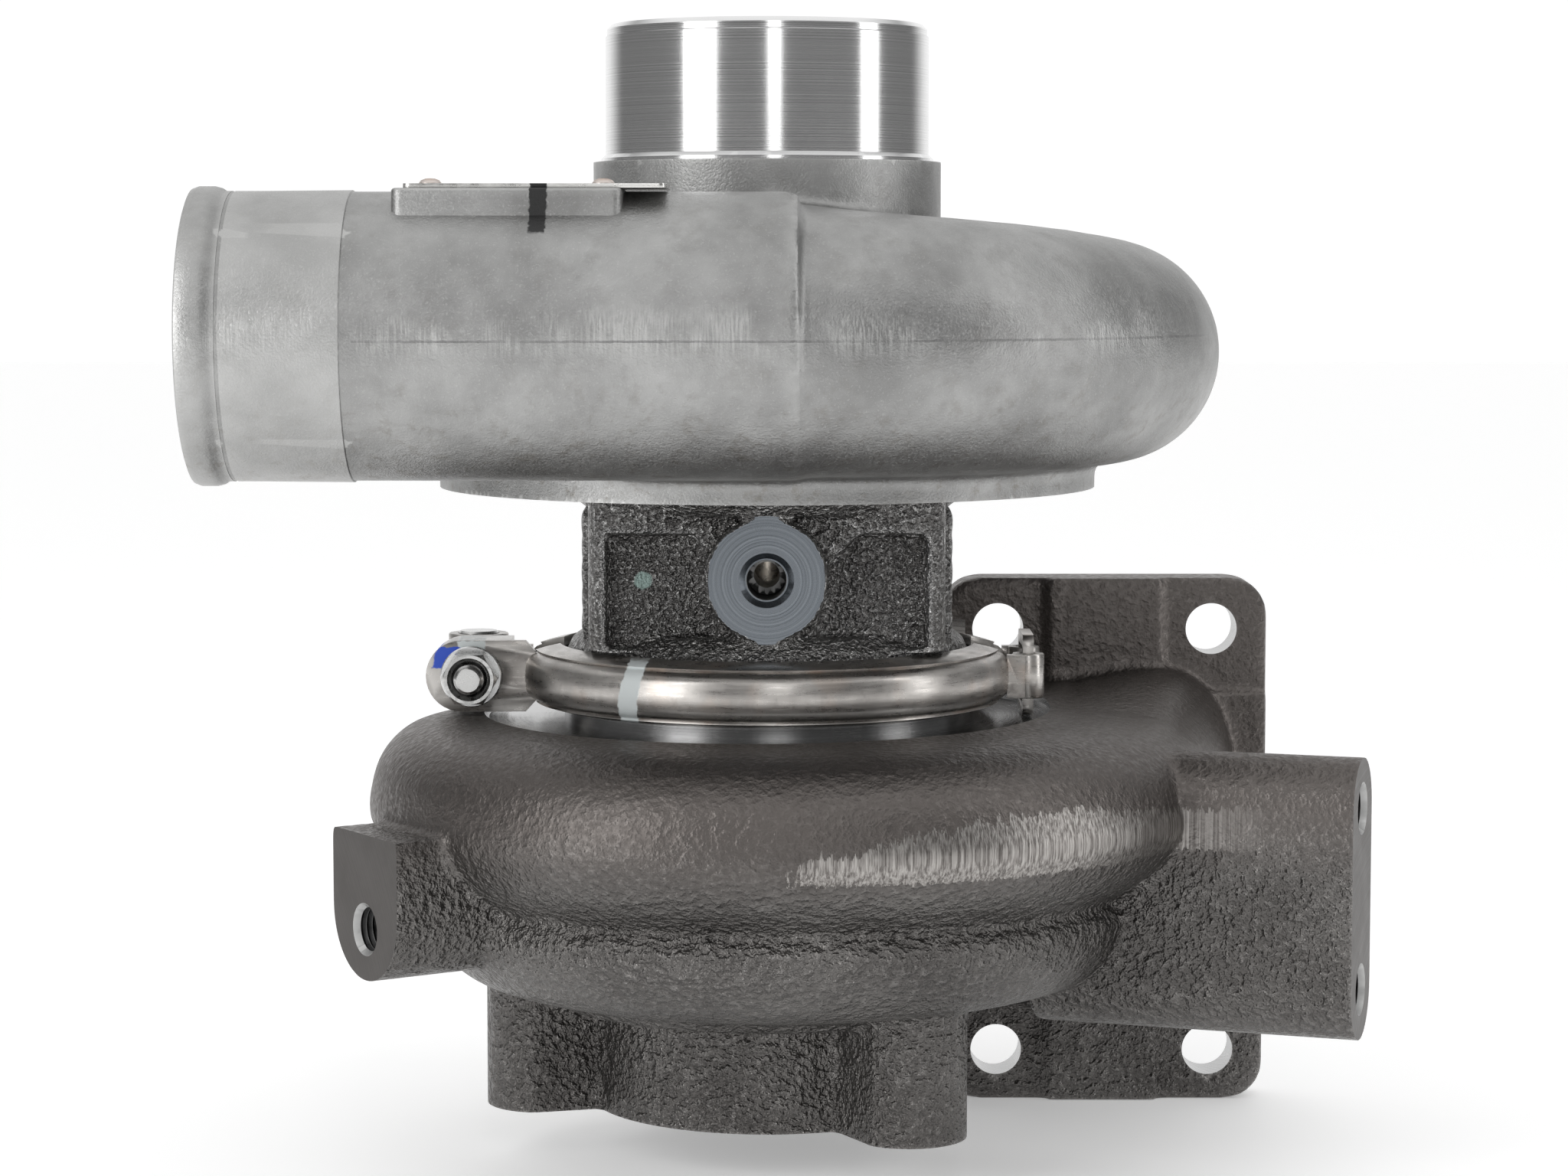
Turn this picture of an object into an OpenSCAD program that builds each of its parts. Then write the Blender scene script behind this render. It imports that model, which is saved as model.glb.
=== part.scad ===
// Turbocharger: compressor cover, bearing housing, twin-entry turbine housing and the rotor inside them.
// Millimetres. +Z runs up the shaft, from the exhaust outlet face at z = 0 to the air inlet at the top.
// The gas enters from +Y on the right, the compressed air leaves along -X.

/* [Overall] */
// Joint plane between the turbine housing and the bearing housing
joint_z = 88.1; // [87.9:0.1:88.3]
// Height of the machined air inlet's rim
inlet_top_z = 219.3; // [214:0.1:225]

/* [Compressor cover] */
// Radius of the machined air inlet
inlet_r = 32.7; // [32:0.1:34]
// Radius of the inlet's bore at the rim
inlet_bore_r = 28.5; // [27:0.1:29]
// Radius of the cast collar below the inlet
collar_r = 35.2; // [34.5:0.1:37]
// Bottom of the cover's rim
cover_low_z = 126.5; // [126:0.1:126.8]
// Radius of the cover's rim
cover_rim_r = 66.7; // [66:0.1:68]
// Scroll passage radius where it joins the outlet pipe
scroll_r = 21; // [20:0.1:21.5]
// Wall thickness of the scroll
scroll_wall = 4.5; // [4:0.1:5.5]
// Distance from the shaft to the outlet pipe's axis
outlet_y = 67; // [66:0.1:68]
// Height of the outlet pipe's axis
outlet_z = 158; // [157:0.1:159]
// Length of the outlet pipe from the shaft plane
outlet_len = 106; // [104:0.5:110]
// Outside radius of the outlet pipe
outlet_r = 27; // [26.5:0.1:27.5]
// Radius of the outlet pipe's bore
outlet_bore_r = 22.4; // [22.2:0.1:23]
// Radius of the bead at the outlet pipe's end
outlet_bead_r = 27.8; // [27.6:0.1:28.2]

/* [Bearing housing] */
// Width of the boxy cast body
body_w = 70.8; // [68:0.1:72]
// Depth of the boxy cast body
body_d = 64; // [60:0.5:66]
// Height of the oil inlet's axis
oil_z = 110; // [109.5:0.1:110.5]
// Distance from the shaft to the oil inlet's machined face
oil_face_y = 38; // [37:0.1:40]
// Radius of the oil inlet's threaded hole
oil_hole_r = 4.3; // [4:0.1:4.5]
// Distance from the shaft to the oil drain's machined face
drain_face_y = 42; // [41:0.1:44]
// Radius of the oil drain's hole
drain_r = 9; // [8:0.1:9.5]
// Distance between the oil drain's two threaded holes
drain_bolt_spacing = 42; // [40:0.5:44]

/* [Clamp] */
// Outside radius of the band
band_r = 50; // [49.8:0.1:50.4]
// Radius of the joint's flanges
flange_r = 45; // [44.8:0.1:45.1]
// Distance from the shaft to the T-bolt's axis
bolt_x = 60; // [59.5:0.1:61]

/* [Turbine housing] */
// Radius of the exhaust outlet's bore
exhaust_r = 28; // [27.5:0.1:29]
// Outside radius of the exhaust pipe between its lobes
exhaust_wall_r = 36.5; // [36:0.1:38]
// Radius of the circle that the exhaust outlet's threaded holes lie on
exhaust_bolt_r = 46; // [45:0.1:47]
// Width of the gas inlet flange
gas_w = 70; // [69:0.1:71]
// Height of the gas inlet flange
gas_h = 114; // [112:0.5:115]
// Horizontal distance between the gas flange's holes
gas_hole_dx = 46; // [45.5:0.1:47]
// Vertical distance between the gas flange's holes
gas_hole_dz = 92; // [91:0.1:93]
// Radius of the gas flange's holes
gas_hole_r = 5.5; // [5.3:0.1:5.7]
// Radius of the threaded holes in the lugs and in the exhaust outlet
lug_hole_r = 4.25; // [4:0.05:4.3]

/* [Rotor] */
// Journal radius of the shaft
journal_r = 5.5; // [5.5:0.1:5.6]
// Radius of the shaft's thin end, which carries the compressor wheel
stub_r = 4; // [3.8:0.1:4.1]
// Number of compressor blades
compressor_blades = 12; // [8:1:14]
// Number of turbine blades
turbine_blades = 11; // [9:1:12]
// Radius of the compressor wheel's tip
compressor_tip_r = 33; // [32.8:0.1:33.2]
// Radius of the compressor wheel's inlet edge
compressor_eye_r = 24; // [23.8:0.1:24.2]
// Radius of the turbine wheel's tip
turbine_tip_r = 31; // [30.8:0.1:31.1]
// Radius of the turbine wheel's outlet edge
turbine_eye_r = 26; // [25.8:0.1:26.1]

/* [Hidden] */
$fn = 96;

// A cut reaches this far past the face that it leaves through
past = 1;
// Gap around a piece that sits in another without moving
seat_gap = 0.2;
// Gap around a piece that is clamped on the shaft
shaft_gap = 0.02;
// Gap between the blades and the walls around them
tip_gap = 0.4;

// Compressor side
plate_top_z = 137;
plate_r = 51;
flange_z = 129.5;
flange_top_z = 133;
cover_seat_r = 61;
snap_groove_r = 64;
snap_low_z = 127.4;
snap_high_z = 129.6;
diffuser_top_z = 142.4;
diffuser_r = 52;
diffuser_out_r = 57.5;
shroud_z = 154;
throat_z = 172;
taper_top_z = 196;
scroll_floor_z = 135.8;
scroll_start = 215;
scroll_sweep = 305;
scroll_rings = 30;
scroll_sides = 16;
collar_top_z = 191.8;
eye_z = 164;
pad_x = [-68, -26];
pad_y = [-82, -54];
pad_low_z = 165;
pad_top_z = 185.2;
plate_t = 0.8;
plate_inset = 2;
plate_w = 48;
rivet_x = [pad_x[0] + 6, pad_x[1] - 4];
rivet_hole_r = 1.3;

// Bearing housing
body_low_z = 95;
pin_angle = 250;
pin_out = 39;
pin_r = 1.2;
drain_z = 109.7;
o_groove_r = 59.3;
o_groove_z = 130.6;

// Turbine side
turbine_mid_z = 47;
core_r = 34;
nozzle_r = 44;
volute_end = 300;
volute_step = 10;
wall = 5.5;
neck_r = 41.5;
gas_x = 72.5;
gas_z = 47;
gas_front_y = 38;
gas_back_y = 50;
gas_pad_t = 1.5;
annulus_z = 79.3;
annulus_r = 58;
outlet_lobes = [67, 187, 307];
left_lug_angle = 213;
left_lug_reach = 92.3;
left_lug_r = 13.5;
left_lug_top_z = 62;
left_lug_arc_z = 47;
left_lug_hole_z = 43.5;
right_lug_angle = 341;
right_lug_reach = 123;
right_lug_r = 10;
right_lug_z = [29.8, 65.6];
lug_hole_depth = 20;

// Bearings and the parts on the shaft
bearing_r = 7.95;
bearing_bore_r = 8;
bearing_len = 8;
lower_bearing_z = 70;
upper_bearing_z = 104;
circlip_t = 1;
circlip_gap = 0.2;
groove_r = 8.8;
hub_r = 8.2;
hub_bore_r = 8.6;
hub_top_z = 65.5;
turbine_ring_z = 62.1;
ring_t = 1.6;
thrust_z = 116.5;
thrust_t = 3.5;
insert_r = 24;
insert_z = 125;
insert_t = 8.5;
sleeve_r = 7;
insert_bore_r = 7.4;
sleeve_ring_z = 130;
wheel_low_z = 137.4;
wheel_top_z = 166;
nut_h = 6.5;
shaft_top_z = 175;

function reverse(list) = [for (i = [len(list) - 1:-1:0]) list[i]];

// A closed tube through rings of points, each ring going round the same way
module sweep(rings) {
  sides = len(rings[0]);
  last = len(rings) - 1;
  spots = [for (ring = rings) each ring];
  walls = [
    for (i = [0:last - 1], k = [0:sides - 1])
    let (here = i * sides, next = here + sides, j = (k + 1) % sides)
    each [[here + k, next + k, here + j], [here + j, next + k, next + j]]
  ];
  start_cap = [for (k = [0:sides - 1]) k];
  end_cap = [for (k = [0:sides - 1]) last * sides + sides - 1 - k];
  polyhedron(spots, concat([start_cap], walls, [end_cap]));
}

module disc(r, low_z, high_z) {
  translate([0, 0, low_z]) cylinder(r = r, h = high_z - low_z);
}

module ring(outer_r, inner_r, low_z, high_z) {
  difference() {
    disc(outer_r, low_z, high_z);
    disc(inner_r, low_z - past, high_z + past);
  }
}

// A torus of the given section radius round the shaft
module o_ring(middle_r, section_r, z) {
  translate([0, 0, z]) rotate_extrude() translate([middle_r, 0]) circle(r = section_r, $fn = 32);
}

// A rectangle with round corners, centred
module soft_rectangle(w, h, r) {
  square([w - 2 * r, h], center = true);
  square([w, h - 2 * r], center = true);
  for (x = [-1, 1], y = [-1, 1])
    translate([x * (w / 2 - r), y * (h / 2 - r)]) circle(r = r, $fn = 48);
}

// A round bar along Y between two places
module y_bar(r, x, z, low_y, high_y) {
  translate([x, high_y, z]) rotate([90, 0, 0]) cylinder(r = r, h = high_y - low_y);
}

// A round bar along X between two places
module x_bar(r, y, z, low_x, high_x) {
  translate([low_x, y, z]) rotate([0, 90, 0]) cylinder(r = r, h = high_x - low_x);
}

// Outline points of a blade tip that turns from along the shaft to outwards
function shroud(eye_r, tip_r, eye_z, tip_z, gap) = [
  for (a = [0:9:90])
  [eye_r + gap + (tip_r - eye_r) * (1 - cos(a)), eye_z + (tip_z - eye_z) * sin(a)]
];

// ---- compressor cover ----

function scroll_bore(t) = scroll_r * sqrt(t);
function scroll_middle(t) = diffuser_r + scroll_bore(t)
  - (diffuser_r + scroll_r - outlet_y) * max(0, t * 3.4 - 2.4);
function scroll_ring(t, skin) = [
  for (k = [0:scroll_sides - 1])
  let (
    b = 360 * (k + 0.5) / scroll_sides,
    a = scroll_start - scroll_sweep * t,
    out = scroll_middle(t) + (scroll_bore(t) + skin) * cos(b)
  )
  [out * cos(a), out * sin(a), scroll_floor_z + scroll_bore(t) + (scroll_bore(t) + skin) * sin(b)]
];

module scroll(skin, first_ring) {
  sweep([for (i = [first_ring:scroll_rings]) scroll_ring(i / scroll_rings, skin)]);
}

// Everything of the cover that goes round the shaft, and the hollow inside it
cover_outline = [
  [0, cover_low_z], [cover_rim_r, cover_low_z], [cover_rim_r, 137.6], [59, 141], [56, 146], [46, 160],
  [collar_r, throat_z], [collar_r, collar_top_z],
  [inlet_r, collar_top_z], [inlet_r, inlet_top_z], [0, inlet_top_z]
];
cover_hollow = concat(
  [
    [0, cover_low_z - past], [cover_seat_r + seat_gap, cover_low_z - past],
    [cover_seat_r + seat_gap, snap_low_z],
    [snap_groove_r, snap_low_z], [snap_groove_r, snap_high_z], [cover_seat_r + seat_gap, snap_high_z],
    [cover_seat_r + seat_gap, flange_top_z], [plate_r + seat_gap, flange_top_z],
    [plate_r + seat_gap, plate_top_z + seat_gap], [diffuser_out_r, plate_top_z + seat_gap],
    [diffuser_out_r, diffuser_top_z]
  ],
  reverse(shroud(compressor_eye_r, compressor_tip_r, shroud_z, diffuser_top_z, tip_gap)),
  [
    [compressor_eye_r + tip_gap, throat_z], [inlet_bore_r, taper_top_z], [inlet_bore_r, inlet_top_z + past],
    [0, inlet_top_z + past]
  ]
);

module compressor_cover() {
  color("#b9b9b6") difference() {
    union() {
      rotate_extrude() polygon(cover_outline);
      scroll(scroll_wall, 1);
      x_bar(outlet_r, -outlet_y, outlet_z, -outlet_len, 2);
      x_bar(outlet_bead_r, -outlet_y, outlet_z, -outlet_len, 5 - outlet_len);
      translate([pad_x[0], pad_y[0], pad_low_z])
        cube([pad_x[1] - pad_x[0], pad_y[1] - pad_y[0], pad_top_z - pad_low_z]);
    }
    union() {
      scroll(0, 2);
      x_bar(outlet_bore_r, -outlet_y, outlet_z, -outlet_len - past, 1.5);
      rotate_extrude() polygon(cover_hollow);
    }
  }
}

module cover_o_ring() {
  color("#1c1c1c") o_ring(60.25, 0.8, o_groove_z + 0.9);
}

module cover_snap_ring() {
  color("#55585a") difference() {
    ring(snap_groove_r - seat_gap, 58.5, snap_low_z + 0.1, snap_high_z - seat_gap);
    translate([0, 62, snap_low_z + 1.1]) cube([14, 12, 4], center = true);
  }
}

module name_plate() {
  color("#c8c6c0") difference() {
    translate([pad_x[0] + plate_inset, pad_y[0] + plate_inset, pad_top_z])
      cube([plate_w, pad_y[1] - pad_y[0] - 2 * plate_inset, plate_t]);
    for (x = rivet_x)
      translate([x, (pad_y[0] + pad_y[1]) / 2, pad_top_z - past])
        cylinder(r = rivet_hole_r, h = plate_t + 2 * past, $fn = 24);
  }
}

module name_plate_rivets() {
  color("#8a5a3c") for (x = rivet_x)
    translate([x, (pad_y[0] + pad_y[1]) / 2, pad_top_z]) {
      cylinder(r = 1.2, h = plate_t + 0.2, $fn = 24);
      translate([0, 0, plate_t]) cylinder(r = 2.1, h = 1.1, $fn = 32);
    }
}

// ---- bearing housing ----

module oil_cavity() {
  difference() {
    ring(25, 13, 94, 112);
    translate([-9, -30, 90]) cube([18, 30, 26]);
  }
}

module bearing_housing() {
  color("#4b4a49") difference() {
    union() {
      disc(cover_seat_r, flange_z, flange_top_z);
      disc(plate_r, flange_top_z - past, plate_top_z);
      translate([0, 0, body_low_z]) linear_extrude(flange_z + past - body_low_z)
        soft_rectangle(body_w, body_d, 9);
      rotate_extrude() polygon([
        [12, joint_z], [flange_r, joint_z], [flange_r, joint_z + 3.4], [neck_r, joint_z + 4.7],
        [40, body_low_z + past], [12, body_low_z + past]
      ]);
      y_bar(11.5, 0, oil_z, -oil_face_y, -20);
      translate([0, drain_face_y, drain_z]) rotate([90, 0, 0]) linear_extrude(16) soft_rectangle(62, 28, 13);
      rotate_extrude() polygon([[7, 60.5], [17, 60.5], [21, 66], [27.5, joint_z + past], [7, joint_z + past]]);
    }
    for (side = [-1, 1])
      translate([side * 23, -body_d / 2, 109]) cube([20, 4, 25], center = true);
    oil_cavity();
    disc(bearing_bore_r, 50, 118);
    disc(hub_bore_r, 50, 66);
    for (z = [lower_bearing_z, upper_bearing_z]) {
      ring(groove_r, 7, z - circlip_t - 2 * circlip_gap, z - circlip_gap / 2);
      ring(groove_r, 7, z + bearing_len + circlip_gap / 2, z + bearing_len + circlip_t + 2 * circlip_gap);
    }
    disc(10.5, 113.6, 118);
    disc(20.5, thrust_z, insert_z);
    disc(insert_r + seat_gap, insert_z, plate_top_z + past);
    ring(26, 20, insert_z + insert_t, insert_z + insert_t + 1.9);
    y_bar(oil_hole_r, 0, oil_z, -oil_face_y - past, 14 - oil_face_y);
    translate([0, 1.1 - oil_face_y, oil_z]) rotate([90, 0, 0]) cylinder(r1 = oil_hole_r, r2 = 6.4, h = 2.1);
    y_bar(2, 0, oil_z, -30, 0);
    translate([0, -16, 74]) cylinder(r = 1.5, h = 36, $fn = 24);
    y_bar(1.5, 0, 74, -16, 0);
    y_bar(drain_r, 0, drain_z, 21.5, drain_face_y + past);
    for (side = [-1, 1])
      y_bar(3.4, side * drain_bolt_spacing / 2, drain_z, drain_face_y - 15, drain_face_y + past);
    ring(cover_seat_r + past, o_groove_r, o_groove_z, o_groove_z + 1.8);
    locating_hole();
  }
}

module locating_hole() {
  rotate([0, 0, pin_angle]) translate([pin_out, 0, joint_z - 4]) cylinder(r = pin_r + 0.1, h = 8, $fn = 24);
}

module locating_pin() {
  color("#8d8f90") rotate([0, 0, pin_angle]) translate([pin_out, 0, joint_z - 3.5])
    cylinder(r = pin_r, h = 7, $fn = 24);
}

module journal_bearing(z) {
  difference() {
    ring(bearing_r, journal_r + 0.03, z, z + bearing_len);
    for (a = [0:60:300])
      rotate([0, 0, a]) translate([0, 0, z + bearing_len / 2]) rotate([0, 90, 0])
        cylinder(r = 1, h = 10, $fn = 24);
  }
}

module lower_journal_bearing() {
  color("#b08a4a") journal_bearing(lower_bearing_z);
}

module upper_journal_bearing() {
  color("#b08a4a") journal_bearing(upper_bearing_z);
}

module circlip(z) {
  difference() {
    ring(8.7, 6.6, z, z + circlip_t);
    translate([0, 8, z]) cube([5, 8, 4], center = true);
  }
}

module bearing_circlips() {
  color("#6b6d6f") for (z = [lower_bearing_z, upper_bearing_z]) {
    circlip(z - circlip_t - circlip_gap);
    circlip(z + bearing_len + circlip_gap);
  }
}

module heat_shield() {
  color("#7c756c") rotate_extrude() polygon([
    [9.5, 57.6], [29, 57.6], [30.5, 59.1], [30.5, joint_z - 1.4], [36, joint_z - 1.4], [36, joint_z],
    [29.3, joint_z], [29.3, 59.6], [28.5, 58.8], [9.5, 58.8]
  ]);
}

// ---- rotor ----

module rotor_shaft() {
  color("#8f9193") rotate_extrude() polygon([
    [0, 50], [6, 50], [6, 56.5], [hub_r, 56.5], [hub_r, turbine_ring_z - 0.1], [7.1, turbine_ring_z - 0.1],
    [7.1, turbine_ring_z + ring_t + 0.1], [hub_r, turbine_ring_z + ring_t + 0.1], [hub_r, hub_top_z],
    [journal_r, hub_top_z], [journal_r, 113.5], [stub_r, 113.5], [stub_r, shaft_top_z], [0, shaft_top_z]
  ]);
}

module turbine_piston_ring() {
  color("#6b6d6f") difference() {
    ring(hub_bore_r - 0.02, 7.4, turbine_ring_z, turbine_ring_z + ring_t);
    translate([8, 0, turbine_ring_z]) cube([4, 0.5, 6], center = true);
  }
}

module blades(count, thickness, outline) {
  for (i = [0:count - 1])
    rotate([90, 0, 360 * i / count]) translate([0, 0, -thickness / 2])
      linear_extrude(thickness) polygon(outline);
}

module turbine_wheel() {
  edge = shroud(turbine_eye_r, turbine_tip_r, 30, 41, 0);
  color("#857d74") difference() {
    union() {
      rotate_extrude() polygon([
        [0, 23], [5, 23], [7, 25], [8, 34], [11, 44], [17, 51], [27, 54.3], [27, 56.3], [0, 56.3]
      ]);
      blades(turbine_blades, 1.8, concat(
        [[3, 54], [3, 27], [turbine_eye_r, 27]], edge, [[turbine_tip_r, 53], [27, 55]]
      ));
    }
    disc(6.02, 49.98, 60);
  }
}

module compressor_wheel() {
  edge = shroud(compressor_eye_r, compressor_tip_r, shroud_z, 142, 0);
  color("#c3c4c3") difference() {
    union() {
      rotate_extrude() polygon([
        [0, wheel_low_z], [9, wheel_low_z], [9, 137.8], [compressor_tip_r, 137.8], [compressor_tip_r, 138.8],
        [22, 141], [13, 148], [8.5, 158], [7.5, wheel_top_z], [0, wheel_top_z]
      ]);
      blades(compressor_blades, 1, concat(
        [[5, 138], [5, eye_z], [compressor_eye_r, eye_z]], edge, [[compressor_tip_r, 138]]
      ));
    }
    disc(stub_r + shaft_gap, 130, 170);
  }
}

module wheel_lock_nut() {
  color("#9a9c9d") difference() {
    union() {
      translate([0, 0, wheel_top_z + 1]) cylinder(r = 6.6, h = nut_h - 1, $fn = 6);
      disc(7.2, wheel_top_z, wheel_top_z + 1.2);
    }
    disc(stub_r + shaft_gap, 160, 180);
  }
}

module thrust_ring() {
  color("#8f9193") difference() {
    union() {
      disc(9.8, 114, thrust_z - 0.15);
      disc(6.4, 114, thrust_z + thrust_t + 0.2);
    }
    disc(stub_r + shaft_gap, 110, 125);
  }
}

module thrust_bearing() {
  color("#b08a4a") difference() {
    ring(20.3, 6.6, thrust_z + 0.01, thrust_z + thrust_t);
    for (a = [0:120:240])
      rotate([0, 0, a + 30]) translate([16, 0, 110]) cylinder(r = 1.6, h = 20, $fn = 24);
  }
}

module thrust_sleeve() {
  top = wheel_low_z - 0.02;
  color("#8f9193") difference() {
    union() {
      disc(sleeve_r, thrust_z + thrust_t + 0.25, top);
      disc(9.8, thrust_z + thrust_t + 0.25, thrust_z + thrust_t + 2);
    }
    ring(9, 6, sleeve_ring_z - 0.1, sleeve_ring_z + ring_t + 0.1);
    disc(stub_r + shaft_gap, 110, 145);
  }
}

module oil_deflector() {
  color("#a9a28c") union() {
    ring(20.3, 10.8, 123.6, 124.9);
    difference() {
      ring(12, 10.8, 120.4, 124);
      translate([0, 10, 122]) cube([60, 20, 3.2], center = true);
    }
  }
}

module seal_insert() {
  color("#aeb0af") difference() {
    union() {
      disc(insert_r, insert_z + 0.02, insert_z + insert_t);
      disc(18, insert_z + insert_t - past, 136.4);
    }
    disc(insert_bore_r, 120, 140);
    ring(26, 22.6, insert_z + 3, insert_z + 5.4);
  }
}

module insert_o_ring() {
  color("#1c1c1c") o_ring(23.4, 0.75, insert_z + 4.2);
}

module insert_snap_ring() {
  color("#6b6d6f") difference() {
    ring(25.8, 22, insert_z + insert_t + 0.05, insert_z + insert_t + 1.7);
    translate([0, 24, insert_z + insert_t]) cube([9, 8, 6], center = true);
  }
}

module sleeve_piston_ring() {
  color("#6b6d6f") difference() {
    ring(insert_bore_r - 0.02, 6.3, sleeve_ring_z, sleeve_ring_z + ring_t);
    translate([7, 0, sleeve_ring_z]) cube([4, 0.5, 6], center = true);
  }
}

// ---- clamp ----

// Cross-section of the V-shaped band, seen from the joint plane
band_outline = [
  [42.6, 6.5], [46, 5.6], [band_r - 0.8, 4.7], [band_r, 3.7], [band_r, -3.7], [band_r - 0.8, -4.7],
  [46, -5.6], [42.6, -6.5], [42.6, -4.6], [47.3, -2.9], [48.3, -2], [48.3, 2], [47.3, 2.9], [42.6, 4.6]
];
// Each half stops this many degrees short of the X axis
band_stop = 9;
link_x = 53;
link_y = 7;
bar_w = 2.2;
roll_r = 3.3;

module half_band() {
  translate([0, 0, joint_z]) rotate([0, 0, band_stop])
    rotate_extrude(angle = 180 - 2 * band_stop) polygon(band_outline);
}

// The end of a band, rolled round the link's bar; on +Y
module hinge_roll() {
  translate([link_x, link_y, joint_z]) difference() {
    union() {
      cylinder(r = roll_r, h = 9, center = true, $fn = 48);
      translate([-3.9, 1.9, 0]) cube([5, 2.6, 9], center = true);
    }
    cylinder(r = 1.65, h = 12, center = true, $fn = 48);
  }
}

module clamp_rear_band() {
  color("#8b8680") difference() {
    union() {
      half_band();
      hinge_roll();
      translate([-56.5, 7.9, joint_z]) cube([16, 2.2, 9.6], center = true);
      translate([-bolt_x, 10, joint_z]) cylinder(r = 6.2, h = 14, center = true, $fn = 64);
    }
    translate([-bolt_x, 10, joint_z]) cylinder(r = 4.3, h = 20, center = true, $fn = 64);
    y_bar(3.4, -bolt_x, joint_z, 0, 10);
  }
}

module clamp_front_band() {
  color("#8b8680") difference() {
    union() {
      mirror([0, 1, 0]) half_band();
      mirror([0, 1, 0]) hinge_roll();
      translate([-bolt_x, -7, joint_z]) rotate([90, 0, 0]) linear_extrude(2.2) {
        translate([0, -7.25]) square([11, 14.5]);
        intersection() {
          circle(r = 9.4, $fn = 64);
          square([20, 14.5], center = true);
        }
      }
    }
    y_bar(3.4, -bolt_x, joint_z, -20, 0);
  }
}

module clamp_hinge_link() {
  color("#7d7c7a") translate([link_x, 0, joint_z]) difference() {
    cube([bar_w, 2 * link_y + bar_w, 16.5], center = true);
    cube([bar_w + 2, 2 * link_y - bar_w, 11.5], center = true);
  }
}

module clamp_t_bolt() {
  color("#8f9193") union() {
    y_bar(3, -bolt_x, joint_z, -19, 11);
    translate([-bolt_x, 10, joint_z]) cylinder(r = 4.15, h = 15, center = true, $fn = 64);
  }
}

module clamp_washer() {
  color("#b5b6b5") difference() {
    y_bar(6.2, -bolt_x, joint_z, -10.5, -9.25);
    y_bar(3.2, -bolt_x, joint_z, -12, -8);
  }
}

module clamp_nut() {
  color("#a3a5a5") difference() {
    translate([-bolt_x, -10.55, joint_z]) rotate([90, 0, 0]) cylinder(r = 5.77, h = 5.5, $fn = 6);
    y_bar(3.02, -bolt_x, joint_z, -20, -8);
  }
}

// ---- turbine housing ----

// How far the volute reaches at an angle from the gas inlet, and how much its height shrinks
function volute_reach(turn) = lookup(turn, [[0, 92], [90, 85.5], [180, 81], [270, 65], [305, 55]]);
function volute_shrink(turn) = lookup(turn, [[0, 1], [180, 1], [305, 0.82]]);

// A section of the volute: outline points as [share of the reach, height], from the inner radius outwards
function volute_ring(outline, inner_r, skin, turn) = [
  for (p = outline)
  let (
    out = inner_r + (volute_reach(turn) - skin - inner_r) * p[0],
    z = turbine_mid_z + (p[1] - turbine_mid_z) * volute_shrink(turn)
  )
  [out * cos(turn), -out * sin(turn), z]
];
function duct_ring(outline, y) = [for (p = outline) [p[0], y, p[1]]];

body_section = [
  [0, 27], [0.5, 27.5], [0.68, 33.5], [0.77, 41], [0.75, 46.5], [0.87, 52], [0.98, 58],
  [1, 63.5], [0.94, 72], [0.79, 78.5], [0.53, 80.2], [0, 80]
];
body_duct = [
  [44, 16], [62, 9], [84, 9], [97, 14], [102, 30], [102, 42],
  [102, 54], [102, 68], [99, 80], [86, 86], [64, 82], [44, 74]
];
upper_section = [[0, 48.2], [0.72, 49.5], [0.93, 55], [1, 63], [0.9, 71], [0.65, 75.5], [0.35, 70], [0, 53]];
upper_duct = [
  [53.5, 50], [76, 50], [91.5, 51], [91.5, 62], [91.5, 74], [80, 76.5], [64, 74.5], [53.5, 68]
];
lower_section = [[0, 41], [0.3, 33], [0.6, 30.5], [0.9, 33], [1, 38], [0.95, 43.5], [0.7, 45.5], [0, 45.8]];
lower_duct = [[53.5, 26], [56, 19], [72, 17.5], [88, 19], [91.5, 30], [91.5, 43], [76, 44], [53.5, 44]];

// The straight duct from the gas flange, then round the shaft to the volute's end
module volute(outline, duct, duct_y, inner_r, skin, end) {
  sweep(concat(
    [duct_ring(duct, duct_y), duct_ring(duct, gas_front_y)],
    [for (turn = [0:volute_step:end]) volute_ring(outline, inner_r, skin, turn)]
  ));
}

// A lug's end shape pushed out from the shaft at an angle
module lug(angle, from_r, to_r) {
  rotate([0, 0, angle]) translate([from_r, 0, 0]) rotate([90, 0, 90]) linear_extrude(to_r - from_r) children();
}

module lug_hole(angle, reach, z) {
  rotate([0, 0, angle]) translate([reach - lug_hole_depth, 0, z]) rotate([0, 90, 0])
    cylinder(r = lug_hole_r, h = lug_hole_depth + past);
}

module gas_flange() {
  difference() {
    translate([gas_x, gas_back_y, gas_z]) rotate([90, 0, 0])
      linear_extrude(gas_back_y - gas_front_y) soft_rectangle(gas_w, gas_h, 8);
    for (x = [-1, 1], z = [-1, 1])
      translate([gas_x + x * gas_w / 2, gas_front_y, gas_z + z * gas_h / 2])
        cube([46, 2 * gas_pad_t, 50], center = true);
  }
}

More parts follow.
